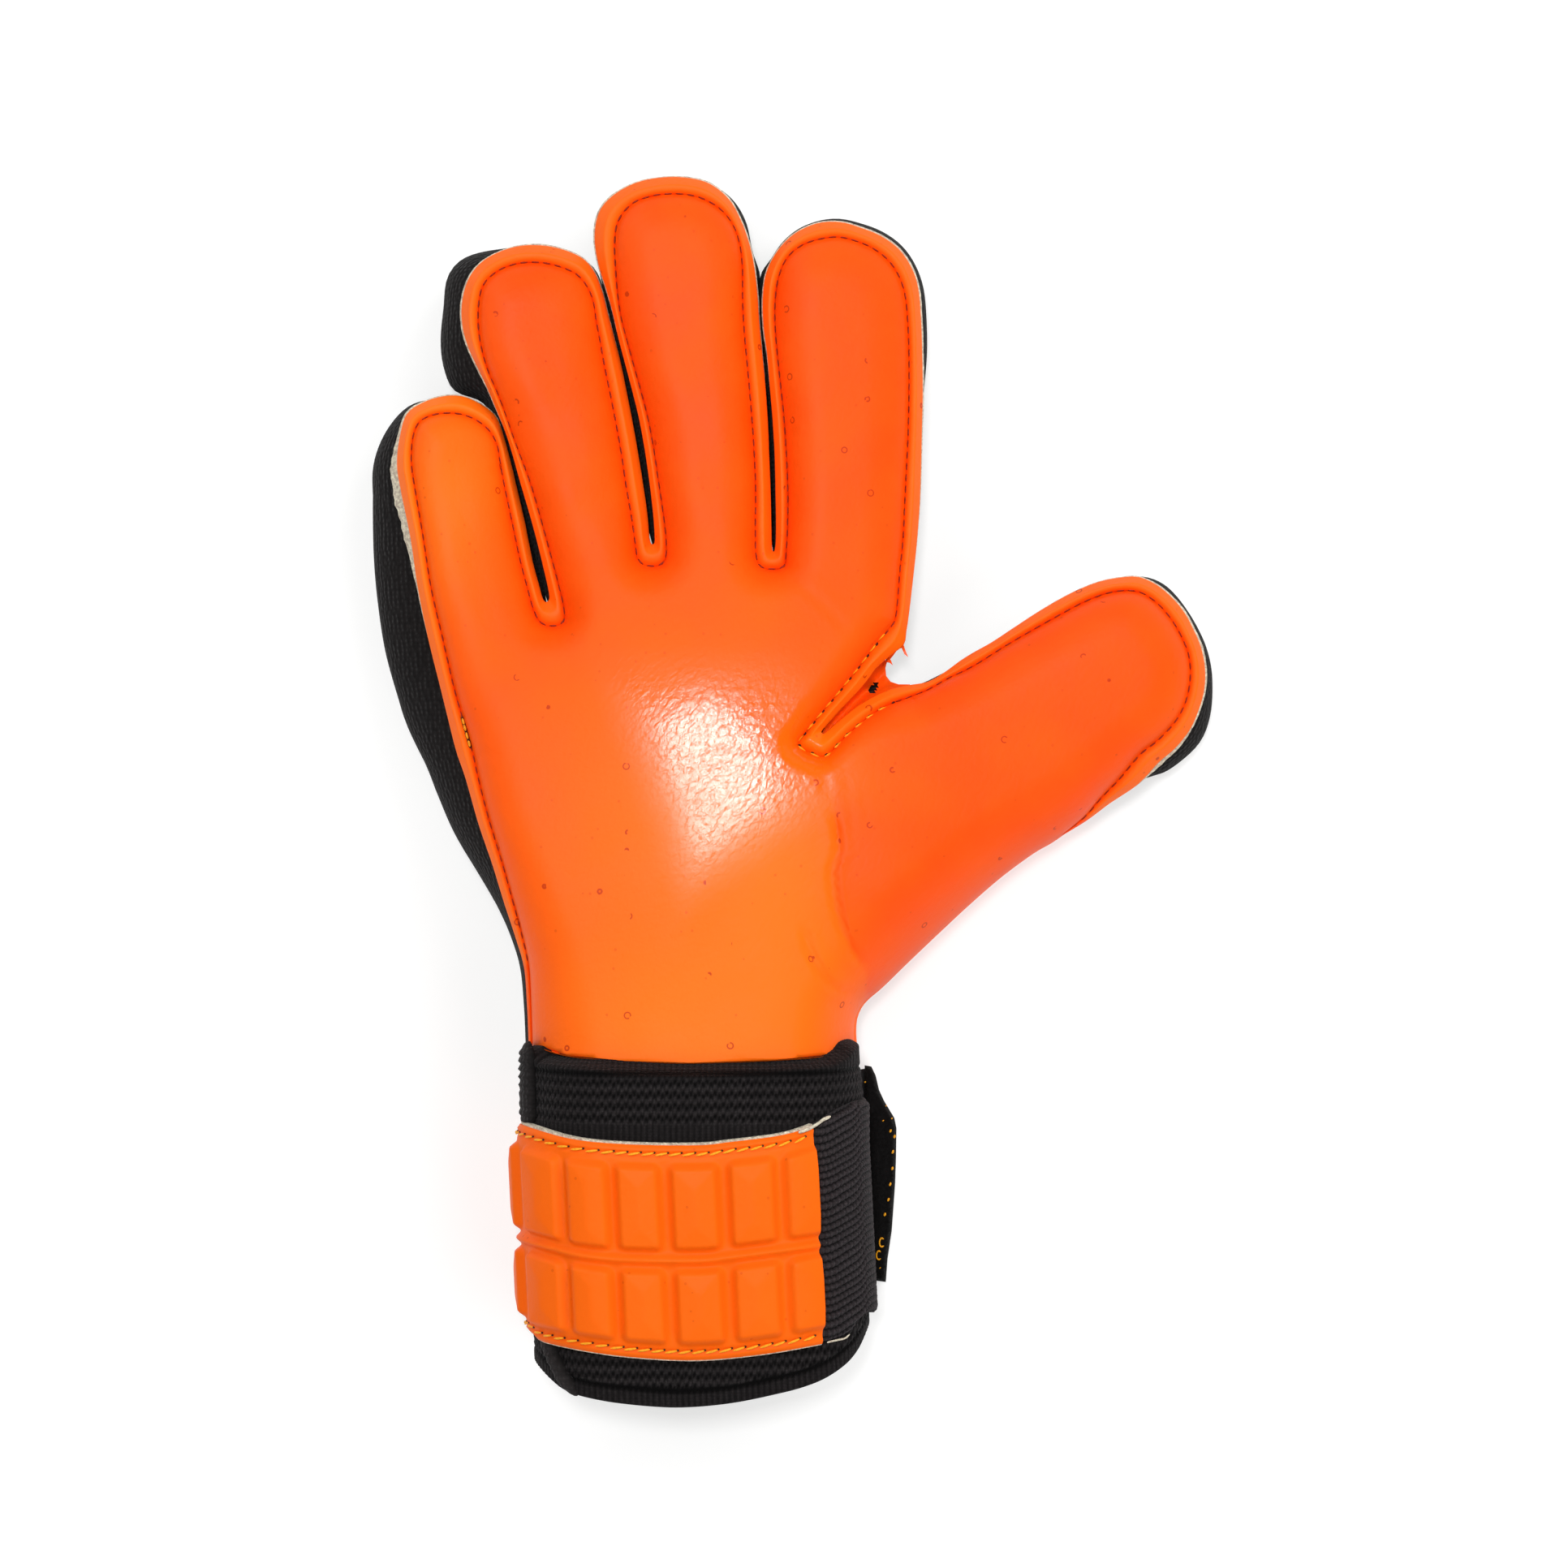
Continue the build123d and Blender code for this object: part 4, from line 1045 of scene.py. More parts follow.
seam_stitches("stitches", False, DARK_THREAD, 2.6, 1.7, 0.24, -0.15, -0.72)
seam_stitches("web_stitches", True, BRIGHT_THREAD, 3.4, 3.3, 0.45, 0.35, -0.35, 0.25)
# Painted shade: dark spindles under the web's bright stitches, in their needle holes.
seam_stitches("web_hole_shade", True, RECESS_SHADE, 3.4, 0.8, 0.4, -0.1, -0.6)


# ------------------------------------------------------------------ edges of the backing
# The pale backing of the latex, where it shows past the cut edge: X, Y and how far.
BACKING_SHOWS = [
    (-83.0, 34.9, 0.0), (-85.3, 46.2, 0.25), (-86.6, 52.0, 0.9), (-87.5, 58.0, 1.5),
    (-89.0, 65.0, 2.0), (-90.0, 72.0, 1.9), (-90.0, 77.0, 1.2), (-89.5, 80.5, 0.6),
    (-84.2, 88.6, 0.3), (-70.0, 87.6, 0.2), (-65.0, 80.0, 0.0), (-65.4, 82.0, 0.0),
    (-71.6, 96.4, 0.35), (-75.1, 105.7, 0.4), (-74.0, 116.3, 0.35), (-67.0, 122.9, 0.15),
    (-56.2, 124.4, 0.35), (-43.1, 113.6, 0.2), (-38.9, 97.4, 0.0), (-39.6, 103.5, 0.0),
    (-45.0, 126.4, 0.35), (-41.0, 135.7, 0.35), (-30.5, 139.9, 0.15), (-18.8, 138.6, 0.35),
    (-11.5, 130.0, 0.3), (-7.8, 113.0, 0.3), (-5.9, 91.5, 0.0), (-5.0, 92.0, 0.0),
    (-6.4, 105.7, 0.3), (-3.2, 123.3, 0.2), (11.0, 129.8, 0.3), (24.5, 123.6, 0.4),
    (29.5, 107.9, 0.4), (29.9, 90.0, 0.35), (29.5, 73.0, 0.2), (27.9, 50.0, 0.0),
    (50.3, 37.0, 0.0), (75.0, 48.7, 0.15), (87.0, 43.9, 0.4), (93.4, 32.8, 0.5),
    (94.2, 23.4, 0.45), (90.9, 14.0, 0.4), (83.9, 6.6, 0.9), (80.8, 3.2, 0.3), (77.9, 0.6, 0.0),
]


# The bright stitches where the rim kinks, and their direction.
LOOSE_STITCHES = [(-75.0, 15.9), (-74.6, 14.4), (-74.1, 12.6), (-73.6, 10.8)]
LOOSE_ALONG = (0.28, -0.96, 0.0)


def make_backing_edge():
    """A thin frayed strip under the cut edge."""
    shows = np.array(BACKING_SHOWS)
    station = [np.argmin(np.hypot(*(cut - row[:2]).T)) for row in shows]
    width = np.interp(np.arange(len(cut)), station, shows[:, 2])
    fray = 0.9 + 0.08 * np.sin(np.arange(len(cut)) * 2.9) + 0.06 * np.sin(np.arange(len(cut)) * 5.3)
    outer = cut + outward * (width * fray)[:, None]
    inner = seam + (cut - seam) * 0.7
    drop = 3.0 + 0.9 * np.clip(width, 0, 2)
    columns = [(inner, seam_z - 2.5), (outer, seam_z - drop), (outer, seam_z - drop - 0.5),
               (inner, seam_z - 3.6)]
    strip = grid_mesh(cross_sections(columns))
    shows = some_faces(*strip, lambda r: max(width[r], width[r + 1]) > 0.02)
    shell_pieces("backing", *shows, BACKING, "palm_latex")


def make_loose_thread():
    """Bright thread that shows where the rim kinks on the ulnar side, over a dark spindle painted as
    the shade in the gap there.
    """
    places = np.array(LOOSE_STITCHES)
    _, where = distance_to(places, seam)
    z = on_seam(seam_z, where)
    for name, mat, lift, length, radius in (("loose_thread", BRIGHT_THREAD, 0.15, 1.5, 0.32),
                                            ("loose_gap_shade", RECESS_SHADE, -0.25, 2.2, 0.5)):
        centres = straighten(np.c_[places, z + lift])
        points, faces = stitch_mesh(centres, LOOSE_ALONG, UP, length, radius)
        shell_pieces(name, points, faces, ["hand"] * len(faces), mat, "palm_latex")


make_backing_edge()
make_loose_thread()


# ------------------------------------------------------------------ the web of the thumb
WEB_OUTLINE = [(6.6, 12.6), (8.8, 17.0), (13.0, 22.2), (16.4, 26.4), (19.4, 29.6), (21.9, 29.9),
               (21.4, 28.0), (21.6, 26.2), (22.6, 24.9), (24.4, 24.3), (27.0, 24.3), (26.0, 22.0),
               (21.0, 20.6), (15.0, 17.4), (11.0, 14.2)]
WEB_DEPTH = 3.4                      # of the orange fold under the seam allowance
WEB_DROOP = 5.0                      # how much lower its middle lies
TORN_TAB = [(22.2, 33.6), (24.4, 34.4), (25.5, 33.5), (25.9, 32.2), (26.6, 30.5), (25.7, 31.2),
            (25.1, 32.6), (24.2, 32.3), (23.2, 30.9), (22.4, 29.9), (21.8, 30.4)]
TORN_SHRED = [(21.6, 30.6), (22.6, 29.9), (23.1, 28.6), (22.4, 29.2), (21.5, 29.4)]
WEB_HOLE = ((18.7, 23.4), (0.75, 1.5), math.radians(-35))


def web_sheet(depth, hole):
    """The fold between thumb and index finger, as points and faces."""
    outline = np.array(WEB_OUTLINE)
    xy, faces = triangulate(outline, grid_inside(outline, np.vstack([outline, outline[:1]]),
                                                 0.7, 0.3), [])
    gap, where = distance_to(xy, seam)
    z = on_seam(seam_z, where) - depth
    z -= WEB_DROOP * smoothstep((gap - 2.2) / 3.0)
    if hole:
        centre, radii, turn = WEB_HOLE
        offset = centres_of(xy, faces) - centre
        along = offset @ np.array([math.sin(-turn), math.cos(turn)])
        across = offset @ np.array([math.cos(turn), math.sin(turn)])
        keep = (along / radii[1]) ** 2 + (across / radii[0]) ** 2 > 1
        faces = [f for f, ok in zip(faces, keep) if ok]
    return straighten(np.c_[xy, z]), faces


def make_web():
    points, faces = web_sheet(WEB_DEPTH, True)
    fold = make_object("thumb_web_fold", points, faces, WEB_LATEX, vertex_normals(points, faces))
    place_piece(fold, "thumb_base")
    points, faces = web_sheet(WEB_DEPTH + 1.6, False)
    liner = make_object("thumb_web_liner", points, faces, MESH_KNIT)
    place_piece(liner, "thumb_base")
    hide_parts("thumb_web_gusset")


make_web()


# ------------------------------------------------------------------ the cuff
CUFF_BOW = 1.3                       # how far the front bows out at its middle
LEAN_FROM, LEAN = -80.0, 0.05        # the cuff leans to the thumb side below this Y
QUARTER = CUFF_CORNER * math.pi / 2
HALF_ROUND = 2 * FLAT_X + 2 * QUARTER + 2 * FLAT_Z


def around(s, out):
    """X and Z on the cuff's section. s runs round it from the middle of the front."""
    s, out = np.broadcast_arrays(np.asarray(s, float), np.asarray(out, float))
    d = np.abs(s)
    first = np.clip((d - FLAT_X) / CUFF_CORNER, 0, math.pi / 2)
    side = np.clip(d - FLAT_X - QUARTER, 0, 2 * FLAT_Z)
    second = np.clip((d - FLAT_X - QUARTER - 2 * FLAT_Z) / CUFF_CORNER, 0, math.pi / 2)
    back = np.clip(d - FLAT_X - 2 * QUARTER - 2 * FLAT_Z, 0, None)
    turn = first + second
    x = np.minimum(d, FLAT_X) - back + (CUFF_CORNER + out) * np.sin(turn)
    z = FLAT_Z - side + (CUFF_CORNER + out) * np.cos(turn)
    return CUFF_X + np.sign(s) * x, CUFF_Z + z + CUFF_BOW * np.clip(1 - (d / 30) ** 2, 0, 1)


def on_cuff(s, out, y):
    """Points at a distance out from the cuff's surface."""
    x, z = around(s, out)
    x, y, z = np.broadcast_arrays(x + LEAN * np.clip(LEAN_FROM - y, 0, None), y, z)
    return np.stack([x, y, z], axis=-1)


def place_round(x, y=-100.0, out=2.0):
    """The place round the cuff's front that looks to be at x."""
    s = np.linspace(-FLAT_X - QUARTER, FLAT_X + QUARTER, 400)
    points = on_cuff(s, out, np.full(len(s), float(y)))
    return np.interp(x, points[:, 0] / shrink(points[:, 2]), s)


def line_round(line, s, out=2.0):
    """The Y at each place round the cuff of a line given as it looks from above."""
    line = spline(line, 1.0)[0]
    limit = FLAT_X + QUARTER
    x, z = around(np.clip(s, -limit, limit), out)
    lean = LEAN * max(LEAN_FROM - line[:, 1].mean(), 0)
    return np.interp((x + lean) / shrink(z), line[:, 0], line[:, 1]) * shrink(z)


def slab(outer, inner):
    """A closed sheet between two grids of points, with crisp edges."""
    rows, columns = outer.shape[:2]
    parts = [(outer.reshape(-1, 3), strip_faces(rows, columns)),
             (inner.reshape(-1, 3), strip_faces(rows, columns, flip=True))]
    for a, b, flip in ((outer[0], inner[0], True), (outer[-1], inner[-1], False),
                       (outer[:, 0], inner[:, 0], False), (outer[:, -1], inner[:, -1], True)):
        wall = np.stack([a, b], axis=0)
        parts.append((wall.reshape(-1, 3), strip_faces(2, len(a), flip=flip)))
    points, faces, _ = joined([(p, f, []) for p, f in parts])
    return points, faces


def finish_piece(name, points, faces, mat, slot_name, body, nodes=()):
    """Makes a piece that rides on one body."""
    obj = make_object(name, points, faces, mat, vertex_normals(points, faces))
    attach(obj, body)
    if nodes:
        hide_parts(*nodes)
    return obj


KNIT_TOP = -53.0
TUCK, TUCK_LENGTH = -5.5, 3.6        # how deep the knit starts under the latex, and how it rises
BAND_SEAM = -62.8                    # where the smooth band ends
RIB_BAND = -73.5
CUFF_BACK_OUT = 2.2                  # thickness of the knit
BACK_END = -57.4                     # where the knit comes out from under the padded back
HEM = 3.2
CUFF_SIDES = [(-62.0, -56.8), (-58.7, -57.8), (-57.4, -60.0), (13.8, -57.2), (15.6, -56.2)]
CUFF_END = [(-64.0, -123.0), (-60.0, -127.0), (-57.0, -129.9), (-54.0, -132.2), (-50.0, -134.0),
            (-42.0, -135.2), (-32.0, -136.2), (-24.0, -136.4), (-14.0, -135.5), (-4.0, -133.6),
            (5.7, -131.2), (11.8, -128.4), (15.4, -125.4), (18.0, -121.5), (20.0, -118.0)]


CELL_WIDTH, CELL_HEIGHT, RIB_WIDTH = 1.8, 2.6, 1.3
LOWER_CELLS = -115.0                 # the cells start again below this Y, under the strap
CUFF_COLUMNS, CUFF_ROWS, LINING_ROWS = 540, 184, 24
HEM_TURN = ((-0.35, -0.35), (-1.1, -0.55), (-1.85, -0.35))     # out and Y, from the cuff's end
LATEX_END_HEIGHT, LATEX_OVERLAP = 43.0, 0.4
BACK_DEPTH = 8.0                     # so far below the cuff's middle, the back covers its start


def knit_relief(s, y, end):
    """Height of the knit: rows of small V-shaped cells between smooth bands."""
    zigzag = 0.35 * np.abs(((s / CELL_WIDTH) % 1.0) * 2 - 1)
    cells = np.cos(2 * math.pi * s / CELL_WIDTH) * np.cos(2 * math.pi * (y / CELL_HEIGHT + zigzag))
    ribs = np.cos(2 * math.pi * s / RIB_WIDTH)
    honeycomb = smoothstep(BAND_SEAM - 0.6 - y) * (1 - smoothstep(RIB_BAND - y))
    honeycomb += smoothstep(LOWER_CELLS - y) * smoothstep((y - end - HEM) / 0.8)
    fine = 1 - np.clip(honeycomb, 0, 1)
    groove = np.exp(-((y - BAND_SEAM) / 0.45) ** 2) + np.exp(-((y - end - HEM) / 0.45) ** 2)
    return 0.24 * cells * honeycomb + 0.08 * ribs * fine - 0.45 * groove


def make_cuff():
    s = np.linspace(-HALF_ROUND, HALF_ROUND, CUFF_COLUMNS, endpoint=False)
    x_foot, z_foot = around(s, 0.0)
    end_line = spline(CUFF_END, 0.5)[0]
    end = np.interp(x_foot + LEAN * 50, end_line[:, 0], end_line[:, 1])
    edge_line = np.array(sorted(WRIST_EDGE + CUFF_SIDES))
    latex_end = np.interp(x_foot, edge_line[:, 0], edge_line[:, 1])
    latex_end = latex_end * shrink(LATEX_END_HEIGHT) + LATEX_OVERLAP
    latex_end += (BACK_END - latex_end) * smoothstep((CUFF_Z - z_foot) / BACK_DEPTH)
    rows, shades = [], []
    for v in np.linspace(0, 1, CUFF_ROWS):
        y = KNIT_TOP + (end - KNIT_TOP) * v
        tuck = TUCK * (1 - smoothstep((latex_end - y) / TUCK_LENGTH))
        wave = 0.35 * np.sin(s / 9.0 + y / 7.0) + 0.25 * np.sin(s / 4.1 - y / 5.0)
        relief = knit_relief(s, y, end)
        rows.append(on_cuff(s, tuck + wave + relief, y))
        # Painted light and shade: the knit's colour is lighter on its crests and darker in its
        # hollows.
        shades.append(np.clip(0.4 + 2.8 * relief, 0, 1))
    for out, past in HEM_TURN:
        rows.append(on_cuff(s, out, end + past))
    for v in np.linspace(0, 1, LINING_ROWS):
        y = end + (KNIT_TOP - end) * v
        rows.append(on_cuff(s, -CUFF_BACK_OUT + TUCK * 0.6 * smoothstep((y + 66) / 6), y))
    points = np.array(rows).reshape(-1, 3)
    faces = [f[::-1] for f in ring_faces(len(rows), CUFF_COLUMNS)]
    obj = make_object("cuff_tube", points, faces, CUFF_KNIT, vertex_normals(points, faces))
    paint_light_and_shade(obj, np.concatenate(shades))
    place_piece(obj, "wrist")
    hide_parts("cuff_knit", "cuff_top_band", "cuff_hem")


ROLL_STEP, ROLL_COLUMNS = 0.6, 13


def roll(path, half_width, height):
    """A padded roll along places (s, y) on the cuff."""
    path = spline(path, ROLL_STEP)[0]
    turns = np.linspace(-1.0, 1.0, ROLL_COLUMNS)
    rows = []
    for k, (s, y) in enumerate(path):
        ends = min(k, len(path) - 1 - k) * ROLL_STEP
        round_end = math.sqrt(min(1.0, (ends + 0.1) / 3.0))
        pucker = 1 + 0.10 * math.sin(k * 1.9) + 0.06 * math.sin(k * 4.1)
        angle = turns * math.pi / 2
        out = height * pucker * round_end * np.cos(angle) - 0.3
        rows.append(on_cuff(s + half_width * round_end * np.sin(angle), out, np.full(ROLL_COLUMNS, y)))
    return np.array(rows)


def make_binding():
    upper = roll([(-43.6, -56.6), (-43.4, -63.0), (-43.1, -70.0), (-42.6, -76.4)], 4.2, 2.3)
    lower = roll([(-38.8, -120.5), (-36.2, -125.5), (-32.6, -130.5), (-29.2, -134.9)], 2.5, 2.0)
    parts = [(g.reshape(-1, 3), strip_faces(*g.shape[:2]), []) for g in (upper, lower)]
    points, faces, _ = joined(parts)
    obj = finish_piece("edge_binding", points, faces, BINDING, "cuff_knit", "cuff",
                       ["cuff_edge_binding"])
    # Painted light and shade: the rolls are lighter along their crests and darker at their sides.
    shade = np.cos(np.linspace(-1.5, 1.5, ROLL_COLUMNS))
    paint_light_and_shade(obj, np.tile(shade, len(points) // ROLL_COLUMNS))


make_cuff()
make_binding()


# ------------------------------------------------------------------ the strap
# Lines on the strap as they look from above, from left to right.
PAD_TOP = [(-63.9, -75.6), (-62.4, -75.9), (-50.6, -79.3), (-37.4, -80.6), (-21.5, -80.8),
           (-14.4, -80.1), (-2.3, -78.5), (5.8, -76.0), (9.0, -74.0)]
PAD_FOOT = [(-60.6, -122.8), (-58.4, -123.9), (-56.3, -125.6), (-46.9, -127.7), (-35.5, -129.2),
            (-21.2, -129.8), (-6.1, -128.4), (6.5, -126.2), (9.0, -125.6)]
BEAD = [(-62.6, -101.0), (-61.6, -101.6), (-54.4, -103.9), (-46.9, -105.8), (-37.4, -106.7),
        (-21.5, -106.9), (-13.7, -106.1), (-2.3, -104.6), (4.8, -103.5), (8.0, -103.0)]
BLOCKS = [(-59.1, -51.6), (-50.1, -41.4), (-39.5, -29.5), (-27.1, -16.1), (-13.7, -3.1), (-1.0, 5.0)]
PAD_RIGHT = place_round(4.6, -79.0)  # where the pad meets the elastic, round the cuff
PAD_WRAP = -65.5                     # how far round the ulnar side the pad goes
WRAP_PITCH, WRAP_BLOCK = 12.9, 11.0
BAND_OUT, SHEET_OUT, BLOCK_UP, BEAD_UP = 0.9, 3.0, 1.8, 1.3
BLOCK_ROUND, BLOCK_EDGE, BLOCK_GROW = 1.4, 1.9, 0.8
BLOCK_CROWN = 0.3                    # how much higher a block's middle is than its edge
TOP_MARGIN, BEAD_MARGIN, FOOT_MARGIN = 4.4, 2.2, 3.7     # from the blocks to the pad's lines
BEAD_HALF = 0.95
EDGE_DROP, EDGE_WIDTH = 0.7, 0.9     # the pad's long edges are rounded
GROOVE_DEPTH, GROOVE_HALF = 0.35, 0.7    # the stitches lie in a groove
STITCH_INSET, STITCH_PITCH, STITCH_SLANT = 1.9, 3.0, 0.22
BACKING_IN = 0.95                    # how far the pad's backing lies under its face
INNER_OUT = 0.2                      # where the backing and the elastic start, out from the cuff
PAD_COLUMNS, PAD_ROWS = 210, 110


def block_spans():
    """The blocks' ends round the cuff, the ones on the ulnar side included."""
    spans = [(place_round(a), place_round(b)) for a, b in BLOCKS]
    spans[-1] = (spans[-1][0], spans[-1][0] + WRAP_BLOCK)
    right = place_round(-60.6)
    while right - 2.0 > PAD_WRAP:
        spans.append((max(right - WRAP_BLOCK, PAD_WRAP + 1.0), right))
        right -= WRAP_PITCH
    return spans


def sheet_out(s):
    """How far the pad's sheet stands off the cuff: less where it goes round the ulnar side."""
    return SHEET_OUT - 1.1 * smoothstep((-38.0 - s) / 12.0)


def pad_height(s, y, top, bead, foot):
    """How far the pad stands out: two rows of rounded blocks and a bead between them."""
    raised = np.zeros_like(y)
    for a, b in block_spans():
        for high, low in ((top - TOP_MARGIN, bead + BEAD_MARGIN),
                          (bead - BEAD_MARGIN, foot + FOOT_MARGIN)):
            x_off = np.abs(s - (a + b) / 2) - (b - a) / 2 + BLOCK_ROUND
            y_off = np.abs(y - (high + low) / 2) - (high - low) / 2 + BLOCK_ROUND
            gap = np.hypot(np.maximum(x_off, 0), np.maximum(y_off, 0)) - BLOCK_ROUND
            gap += np.minimum(np.maximum(x_off, y_off), 0)
            crown_up = BLOCK_CROWN * smoothstep(-gap / 6.0)
            raised = np.maximum(raised, smoothstep((BLOCK_GROW - gap) / BLOCK_EDGE) + crown_up)
    rim = np.minimum(top - y, y - foot)
    rounding = -EDGE_DROP * (1 - smoothstep(rim / EDGE_WIDTH))
    groove = -GROOVE_DEPTH * np.exp(-((rim - STITCH_INSET) / GROOVE_HALF) ** 2)
    bead_up = BEAD_UP * np.exp(-((y - bead) / BEAD_HALF) ** 2)
    return sheet_out(s) + BLOCK_UP * raised + bead_up + rounding + groove


def make_pad():
    s = np.linspace(PAD_WRAP, PAD_RIGHT, PAD_COLUMNS)
    top, foot, bead = (line_round(line, s) for line in (PAD_TOP, PAD_FOOT, BEAD))
    t = np.linspace(0, 1, PAD_ROWS)[:, None]
    y = top + (foot - top) * t
    points, faces = slab(on_cuff(s, pad_height(s, y, top, bead, foot), y),
                         on_cuff(s, BAND_OUT, y))
    finish_piece("moulded_strap_pad", points, faces, STRAP_LATEX, "strap_latex", "cuff",
                 ["strap_pad"])
    y_band = top + 0.45 + (foot - top - 0.7) * t
    ragged = 0.12 * np.sin(s * 3.1) + 0.1 * np.sin(s * 7.7 + 1.0)
    points, faces = slab(on_cuff(s, sheet_out(s) - BACKING_IN, y_band + ragged * (1 - t)),
                         on_cuff(s, INNER_OUT, y_band))
    finish_piece("strap_pad_backing", points, faces, BACKING, "strap_webbing", "cuff",
                 ["strap_base_band"])


def surface_frames(s, y, out):
    """Points on the strap with the directions along it and out of it."""
    here = on_cuff(s, out, y)
    along = unit(on_cuff(s + 0.3, out, y) - on_cuff(s - 0.3, out, y))
    return here, along, unit(np.cross(along, [0.0, 1.0, 0.0]))


def make_strap_stitches():
    """Slanted bright stitches along both long edges of the pad, with dark spindles at their ends as
    painted shade in the needle holes.
    """
    s = np.arange(PAD_WRAP + 2.0, PAD_RIGHT - 0.6, STITCH_PITCH)
    thread, holes = [], []
    for line, side in ((PAD_TOP, -1), (PAD_FOOT, 1)):
        y = line_round(line, s) + side * STITCH_INSET
        slope = (line_round(line, s + 0.5) - line_round(line, s - 0.5))[:, None]
        here, along, up = surface_frames(s, y, sheet_out(s) - 0.1)
        slant = unit(along + np.array([0.0, 1.0, 0.0]) * (slope + STITCH_SLANT))
        thread.append(stitch_mesh(here + up * 0.15, slant, up, 2.8, 0.3, bend=0.15))
        # Painted shade in the needle holes at the stitches' ends.
        ends = here + slant * 1.5
        holes.append(stitch_mesh(ends, slant, up, 0.6, 0.25))
    for name, parts, mat in (("strap_stitches", thread, BRIGHT_THREAD), ("strap_hole_shade", holes, RECESS_SHADE)):
        points, faces, _ = joined([(p, f, []) for p, f in parts])
        finish_piece(name, points, faces, mat, "strap_latex", "cuff")


ELASTIC_TOP = [(4.0, -76.6), (6.0, -75.8), (10.0, -73.4), (15.2, -71.0), (18.0, -70.4)]
ELASTIC_FOOT = [(5.0, -126.6), (8.2, -125.6), (13.5, -123.6), (17.5, -119.5), (19.0, -119.0)]
RIB_PITCH, RIB_UP = 1.65, 0.8
ELASTIC_WRAP = 70.0
ELASTIC_OUT = 1.3
ELASTIC_STEP, ELASTIC_ROWS = 0.33, 190


def make_elastic():
    """Ribbed elastic: gathered ridges that climb towards the thumb side, each made of small knots."""
    s_left = PAD_RIGHT + 0.15
    s = np.arange(s_left, ELASTIC_WRAP, ELASTIC_STEP)
    top, foot = (line_round(line, s) for line in (ELASTIC_TOP, ELASTIC_FOOT))
    t = np.linspace(0, 1, ELASTIC_ROWS)[:, None]
    y = top + (foot - top) * t
    past = s - s_left
    climb = 0.06 * past + 0.02 * np.minimum(past, 14.0) ** 2
    phase = (y - climb) / RIB_PITCH + 0.12 * np.sin(s * 0.7) + 0.10 * np.sin(y * 0.45)
    ridge = np.abs(np.cos(math.pi * phase)) ** 0.7
    knots = np.cos(2 * math.pi * (s / 1.15 + 0.5 * np.round(phase)))
    seam_flat = smoothstep((past - 0.6) / 1.2)
    relief = (RIB_UP * ridge + 0.13 * knots * ridge) * (0.25 + 0.75 * seam_flat)
    rim = np.minimum(top - y, y - foot)
    out = ELASTIC_OUT + relief - 0.9 * (1 - smoothstep(rim / 1.0))
    points, faces = slab(on_cuff(s, out, y), on_cuff(s, INNER_OUT, y))
    obj = finish_piece("ribbed_elastic", points, faces, ELASTIC, "strap_elastic", "cuff",
                       ["strap_elastic"])
    # Painted light and shade: the ribs are lighter on their ridges and darker in the valleys between
    # them.
    paint_light_and_shade(obj, np.clip(1.25 * ridge - 0.3 + 0.3 * knots, 0, 1).ravel())


TAIL_SIDES = 8


def make_tail(name, route, half_width, thickness, out, mat):
    """A loose end of tape or thread on the strap: its route is given as it looks from above."""
    route = spline(route, 0.4)[0]
    rows = []
    for k, (x, y) in enumerate(route):
        s = place_round(x, y, out)
        _, z = around(s, out)
        true_y = y * shrink(z)
        taper = min(1.0, 0.45 + 0.4 * min(k, len(route) - 1 - k))
        angle = np.linspace(0, 2 * math.pi, TAIL_SIDES, endpoint=False)
        rows.append(on_cuff(s, out + thickness * np.sin(angle) * taper,
                            true_y + half_width * np.cos(angle) * taper))
    finish_piece(name, np.array(rows).reshape(-1, 3), closed_tube(len(rows), TAIL_SIDES), mat,
                 "strap_webbing", "cuff")


def pillow(plan, low, high, edge_round, spacing, relief=None):
    """A flat closed piece with rounded edges. relief gives extra height on its upper face."""
    plan = np.array(plan, float)
    loop = np.vstack([np.linspace(a, b, max(2, int(np.hypot(*(b - a)) / spacing)) + 1)[:-1]
                      for a, b in zip(plan, np.roll(plan, -1, axis=0))])
    closed = np.vstack([loop, loop[:1]])
    xy, faces = triangulate(loop, grid_inside(loop, closed, spacing, spacing * 0.6), [])
    gap, _ = distance_to(xy, closed)
    full = np.sqrt(1 - (1 - np.clip(gap / edge_round, 0, 1)) ** 2)
    middle = (low + high) / 2
    upper = middle + (high - middle) * full
    if relief is not None:
        upper += relief(xy[:, 0], xy[:, 1]) * full
    lower = middle - (middle - low) * full
    points = np.vstack([np.c_[xy, upper], np.c_[xy, lower]])
    count = len(xy)
    return points, faces + [[v + count for v in f[::-1]] for f in faces]


FLAP_PLAN = [(-57.0, -77.4), (17.6, -65.4), (17.6, -115.2), (-57.0, -126.6)]
HOOK_PLAN = [(-27.0, -77.0), (8.0, -72.0), (8.0, -112.0), (-27.0, -118.0)]
LOOP_PLAN = [(-40.0, -120.0), (-5.0, -120.0), (-5.0, -80.0), (-40.0, -80.0)]
TAB_PLAN = [(17.2, -64.6), (18.8, -64.9), (19.8, -67.0), (20.6, -70.4), (21.8, -73.0), (24.2, -77.0),
            (24.7, -79.4), (24.6, -86.0), (24.4, -92.3), (23.6, -103.4), (22.6, -110.2),
            (22.2, -115.6), (17.2, -115.0)]
TAB_DOTS = [(22.6, -77.6), (23.5, -78.9), (23.1, -82.4), (23.0, -86.2), (22.5, -89.8),
            (22.1, -93.3), (21.3, -96.7)]
TAB_LOOPS = [(20.6, -103.1), (19.9, -106.0)]
